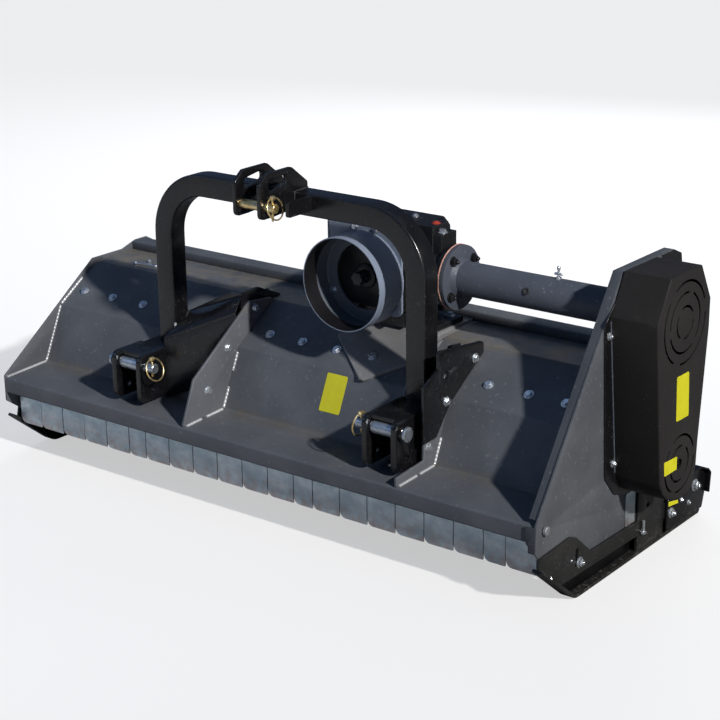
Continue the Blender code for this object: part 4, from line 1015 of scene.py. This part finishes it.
welded("deck_welds", [
    *stitches(-0.8775, (0, 0.03, 0.99), (1, 0.01, 0.99), (2, 0.01, 0.60)),
    *stitches(RIB_LEFT + 0.0018, (0, 0.06, 0.44), (0, 0.56, 0.98), (1, 0.02, 0.36), (1, 0.62, 0.92)),
    *stitches(-0.2000, (0, 0.10, 0.50), (1, 0.10, 0.45)),
    *stitches(RIB_RIGHT + 0.0018, (0, 0.06, 0.52), (0, 0.60, 0.98), (1, 0.02, 0.42)),
    *stitches(0.4972, (0, 0.10, 0.50), (1, 0.10, 0.45)),
], 0.0042, weld_grey_and_highlight)
welded("foot_weld", [[(-0.3905, 0.1985, 0.4050), (-0.3905, 0.1985, 0.4450)]], 0.0042, weld_grey_and_highlight)
welded("hitch_welds", [
    *[[(side * 0.394, 0.200, 0.3915), (side * 0.450, 0.200, 0.3915)] for side in (-1, 1)],
    *[[(side * 0.3915, 0.259, 0.420), (side * 0.3915, 0.259, 0.466)] for side in (-1, 1)],
    *[[(x, 0.1975, 0.832), (x, 0.1975, 0.875), (x, 0.252, 0.8775)] for x in (-0.0465, -0.0335, 0.0335,
                                                                             0.0465)],
], 0.0026, weld_black)


# Plain yellow patches with nothing on them, and small trim


def patch(name, corners):
    """Thin film with rounded corners on the plane of its four corners."""
    a, b, c, d = [Vector(corner) for corner in corners]
    normal = (b - a).cross(d - a).normalized() * FILM
    flat = arced([(0, 0), (1, 0), (1, 1), (0, 1)], [0.05] * 4, 4)
    film = [a.lerp(b, u).lerp(d.lerp(c, u), v) for u, v in flat]
    bm = skinned([[point + normal * rise for point in film] for rise in (0.2, 1.2)])
    shown(name, bm, yellow_film, slot="satin_black_cover", smooth=0)


patch("yellow_patch_cover", [(COVER_X, y, z) for y, z in
                             ((0.409, 0.517), (0.415, 0.402), (0.479, 0.400), (0.470, 0.516))])
patch("yellow_patch_foot", [(COVER_X, y, z) for y, z in
                            ((0.363, 0.313), (0.367, 0.276), (0.430, 0.275), (0.429, 0.309))])
patch("yellow_patch_bracket", [(0.9246, y, z) for y, z in
                               ((0.6160, 0.0955), (0.6160, 0.0823), (0.6696, 0.0747), (0.6664, 0.0848))])
rise = (Vector(KNEE) - Vector(SEAM)).normalized()
out = Vector((-rise.y, rise.x)) * 0.0003
spot_high = Vector(SEAM) + rise * 0.164 + out
spot_low = Vector(SEAM) + rise * 0.062 + out
patch("yellow_patch_deck", [(0.122, spot_high.x, spot_high.y), (0.122, spot_low.x, spot_low.y),
                            (0.189, spot_low.x, spot_low.y), (0.189, spot_high.x, spot_high.y)])

foot_strip = arced([(0.414, 0.094), (0.461, 0.094), (0.461, 0.184), (0.414, 0.184)], [0.003] * 4, 3)
shown("side_strip", prism(foot_strip, 0.9082, 0.9115), zinc_flap, slot="zinc_plate", bevel=0.0006)
hook = arced([(-0.762, 0.418), (-0.744, 0.420), (-0.712, 0.428), (-0.682, 0.428), (-0.672, 0.446),
              (-0.672, 0.468), (-0.688, 0.468), (-0.694, 0.446), (-0.722, 0.444), (-0.758, 0.428)],
              [0.003] * 10, 3)
shown("door_latch", merged(
    prism(hook, 0.5042, 0.5068, "Z"),
    lathe([(0.5042, 0.0060), (0.5120, 0.0060), (0.5132, 0.0046)], (-0.728, 0.455), "Z", 6),
    lathe([(0.5042, 0.0050), (0.5100, 0.0050), (0.5112, 0.0036)], (-0.755, 0.423), "Z", 16)), zinc_bolt,
    slot="zinc_plate", bevel=0.0004)
shown("skid_stud", merged(
    lathe([(0.0545, 0.0044), (0.0890, 0.0044), (0.0900, 0.0034)], (0.9230, 0.487), "Z", 14),
    lathe([(0.0545, 0.0085), (0.0600, 0.0085), (0.0610, 0.0072)], (0.9230, 0.487), "Z", 6)), zinc_bolt,
    slot="zinc_plate")


# Camera, light and floor

FOCAL_PIXELS = 1796.4
PICTURE_PIXELS = 720
camera = linked("camera", bpy.data.cameras.new("camera"))
camera.data.sensor_width = 36.0
camera.data.lens = FOCAL_PIXELS / PICTURE_PIXELS * camera.data.sensor_width
camera.data.clip_start = 0.05
camera.data.clip_end = 200.0
azimuth, elevation, roll = math.radians(37.44), math.radians(18.80), math.radians(-0.62)
back = Vector((math.sin(azimuth) * math.cos(elevation), -math.cos(azimuth) * math.cos(elevation),
               math.sin(elevation)))
level = Vector((math.cos(azimuth), math.sin(azimuth), 0.0))
above = back.cross(level)
right = level * math.cos(roll) + above * math.sin(roll)
top = -level * math.sin(roll) + above * math.cos(roll)
pose = Matrix((right, top, back)).transposed().to_4x4()
pose.translation = Vector((2.8843, -3.2429, 1.9392)) - MIDDLE
camera.matrix_world = pose
bpy.context.scene.camera = camera


def lamp(name, kind, energy, at, size, colour):
    """Light that shines at the middle of the machine; size is an angle for the sun, else a width."""
    data = bpy.data.lights.new(name, kind)
    data.energy = energy
    data.color = colour
    if kind == "SUN":
        data.angle = size
    else:
        data.shape = "RECTANGLE"
        data.size = size
        data.size_y = size * 0.6
    item = linked(name, data)
    item.location = at
    item.rotation_euler = (Vector((0.0, 0.0, 0.35)) - Vector(at)).to_track_quat("-Z", "Y").to_euler()
    return item


lamp("key_sun", "SUN", 4.7, (7.91, -2.32, 5.66), math.radians(2.5), (1.0, 0.975, 0.94))
lamp("sky_panel", "AREA", 16.0, (-0.8, 1.4, 5.6), 6.5, (0.50, 0.70, 1.0))
lamp("right_fill", "AREA", 10.0, (4.4, 1.9, 2.6), 2.2, (1.0, 0.99, 0.97))
lamp("left_fill", "AREA", 10.0, (-3.4, -3.0, 2.6), 2.6, (0.60, 0.76, 1.0))
lamp("back_fill", "AREA", 150.0, (-1.4, 4.6, 2.6), 3.6, (0.93, 0.96, 1.0)).visible_glossy = False


def build_room():
    """White for the camera; for the machine a blue light, weaker from the right and behind."""
    world = bpy.data.worlds.new("pale_room")
    bpy.context.scene.world = world
    world.use_nodes = True
    tree = world.node_tree
    room = tree.nodes["Background"]
    room.inputs["Color"].default_value = (0.34, 0.54, 1.0, 1.0)
    sky = step(tree, "ShaderNodeTexCoord")
    side = step(tree, "ShaderNodeVectorMath", [(0, sky.outputs["Generated"])], [(1, (0.62, 0.78, -0.15))],
                operation="DOT_PRODUCT")
    weaker = step(tree, "ShaderNodeMapRange", [("Value", side.outputs["Value"])],
                  [("From Min", -0.2), ("From Max", 0.5), ("To Min", 0.20), ("To Max", 0.05)])
    tree.links.new(weaker.outputs["Result"], room.inputs["Strength"])
    seen = step(tree, "ShaderNodeBackground", values=[("Color", (1.0, 1.0, 1.0, 1.0))])
    paths = step(tree, "ShaderNodeLightPath")
    choice = step(tree, "ShaderNodeMixShader", [
        ("Fac", paths.outputs["Is Camera Ray"]), (1, room.outputs[0]), (2, seen.outputs[0])])
    tree.links.new(choice.outputs[0], tree.nodes["World Output"].inputs["Surface"])


def build_floor():
    """Pale floor for the camera; what it throws back is brighter in front of the machine."""
    reach = 40.0
    sunk = -0.0008
    mesh = bpy.data.meshes.new("floor")
    mesh.from_pydata([(-reach, -reach, sunk), (reach, -reach, sunk), (reach, reach, sunk),
                      (-reach, reach, sunk)],
                     [], [(0, 1, 2, 3)])
    floor = linked("floor", mesh)
    material = bpy.data.materials.new("pale_floor")
    material.use_nodes = True
    tree = material.node_tree
    shader = tree.nodes["Principled BSDF"]
    shader.inputs["Roughness"].default_value = 0.9
    spot = step(tree, "ShaderNodeTexCoord")
    front = step(tree, "ShaderNodeVectorMath", [(0, spot.outputs["Object"])], [(1, (0.2, 0.98, 0.0))],
                 operation="DOT_PRODUCT")
    fade = step(tree, "ShaderNodeMapRange", [("Value", front.outputs["Value"])],
                [("From Min", -1.0), ("From Max", -0.35), ("To Min", 0.44), ("To Max", 0.10)])
    seen = step(tree, "ShaderNodeLightPath").outputs["Is Camera Ray"]
    tone = step(tree, "ShaderNodeMix", [("Factor", seen), ("A", fade.outputs["Result"])],
                [("B", (0.78, 0.78, 0.78, 1.0))], data_type="RGBA")
    tree.links.new(tone.outputs["Result"], shader.inputs["Base Color"])
    glow = step(tree, "ShaderNodeEmission", values=[("Strength", 1.0)])
    share = math_step(tree, "MULTIPLY", seen, 0.55)
    mix = step(tree, "ShaderNodeMixShader", [
        ("Fac", share), (1, shader.outputs[0]), (2, glow.outputs[0])])
    tree.links.new(mix.outputs[0], tree.nodes["Material Output"].inputs["Surface"])
    mesh.materials.append(material)


build_room()
build_floor()
bpy.context.scene.view_settings.view_transform = "Standard"
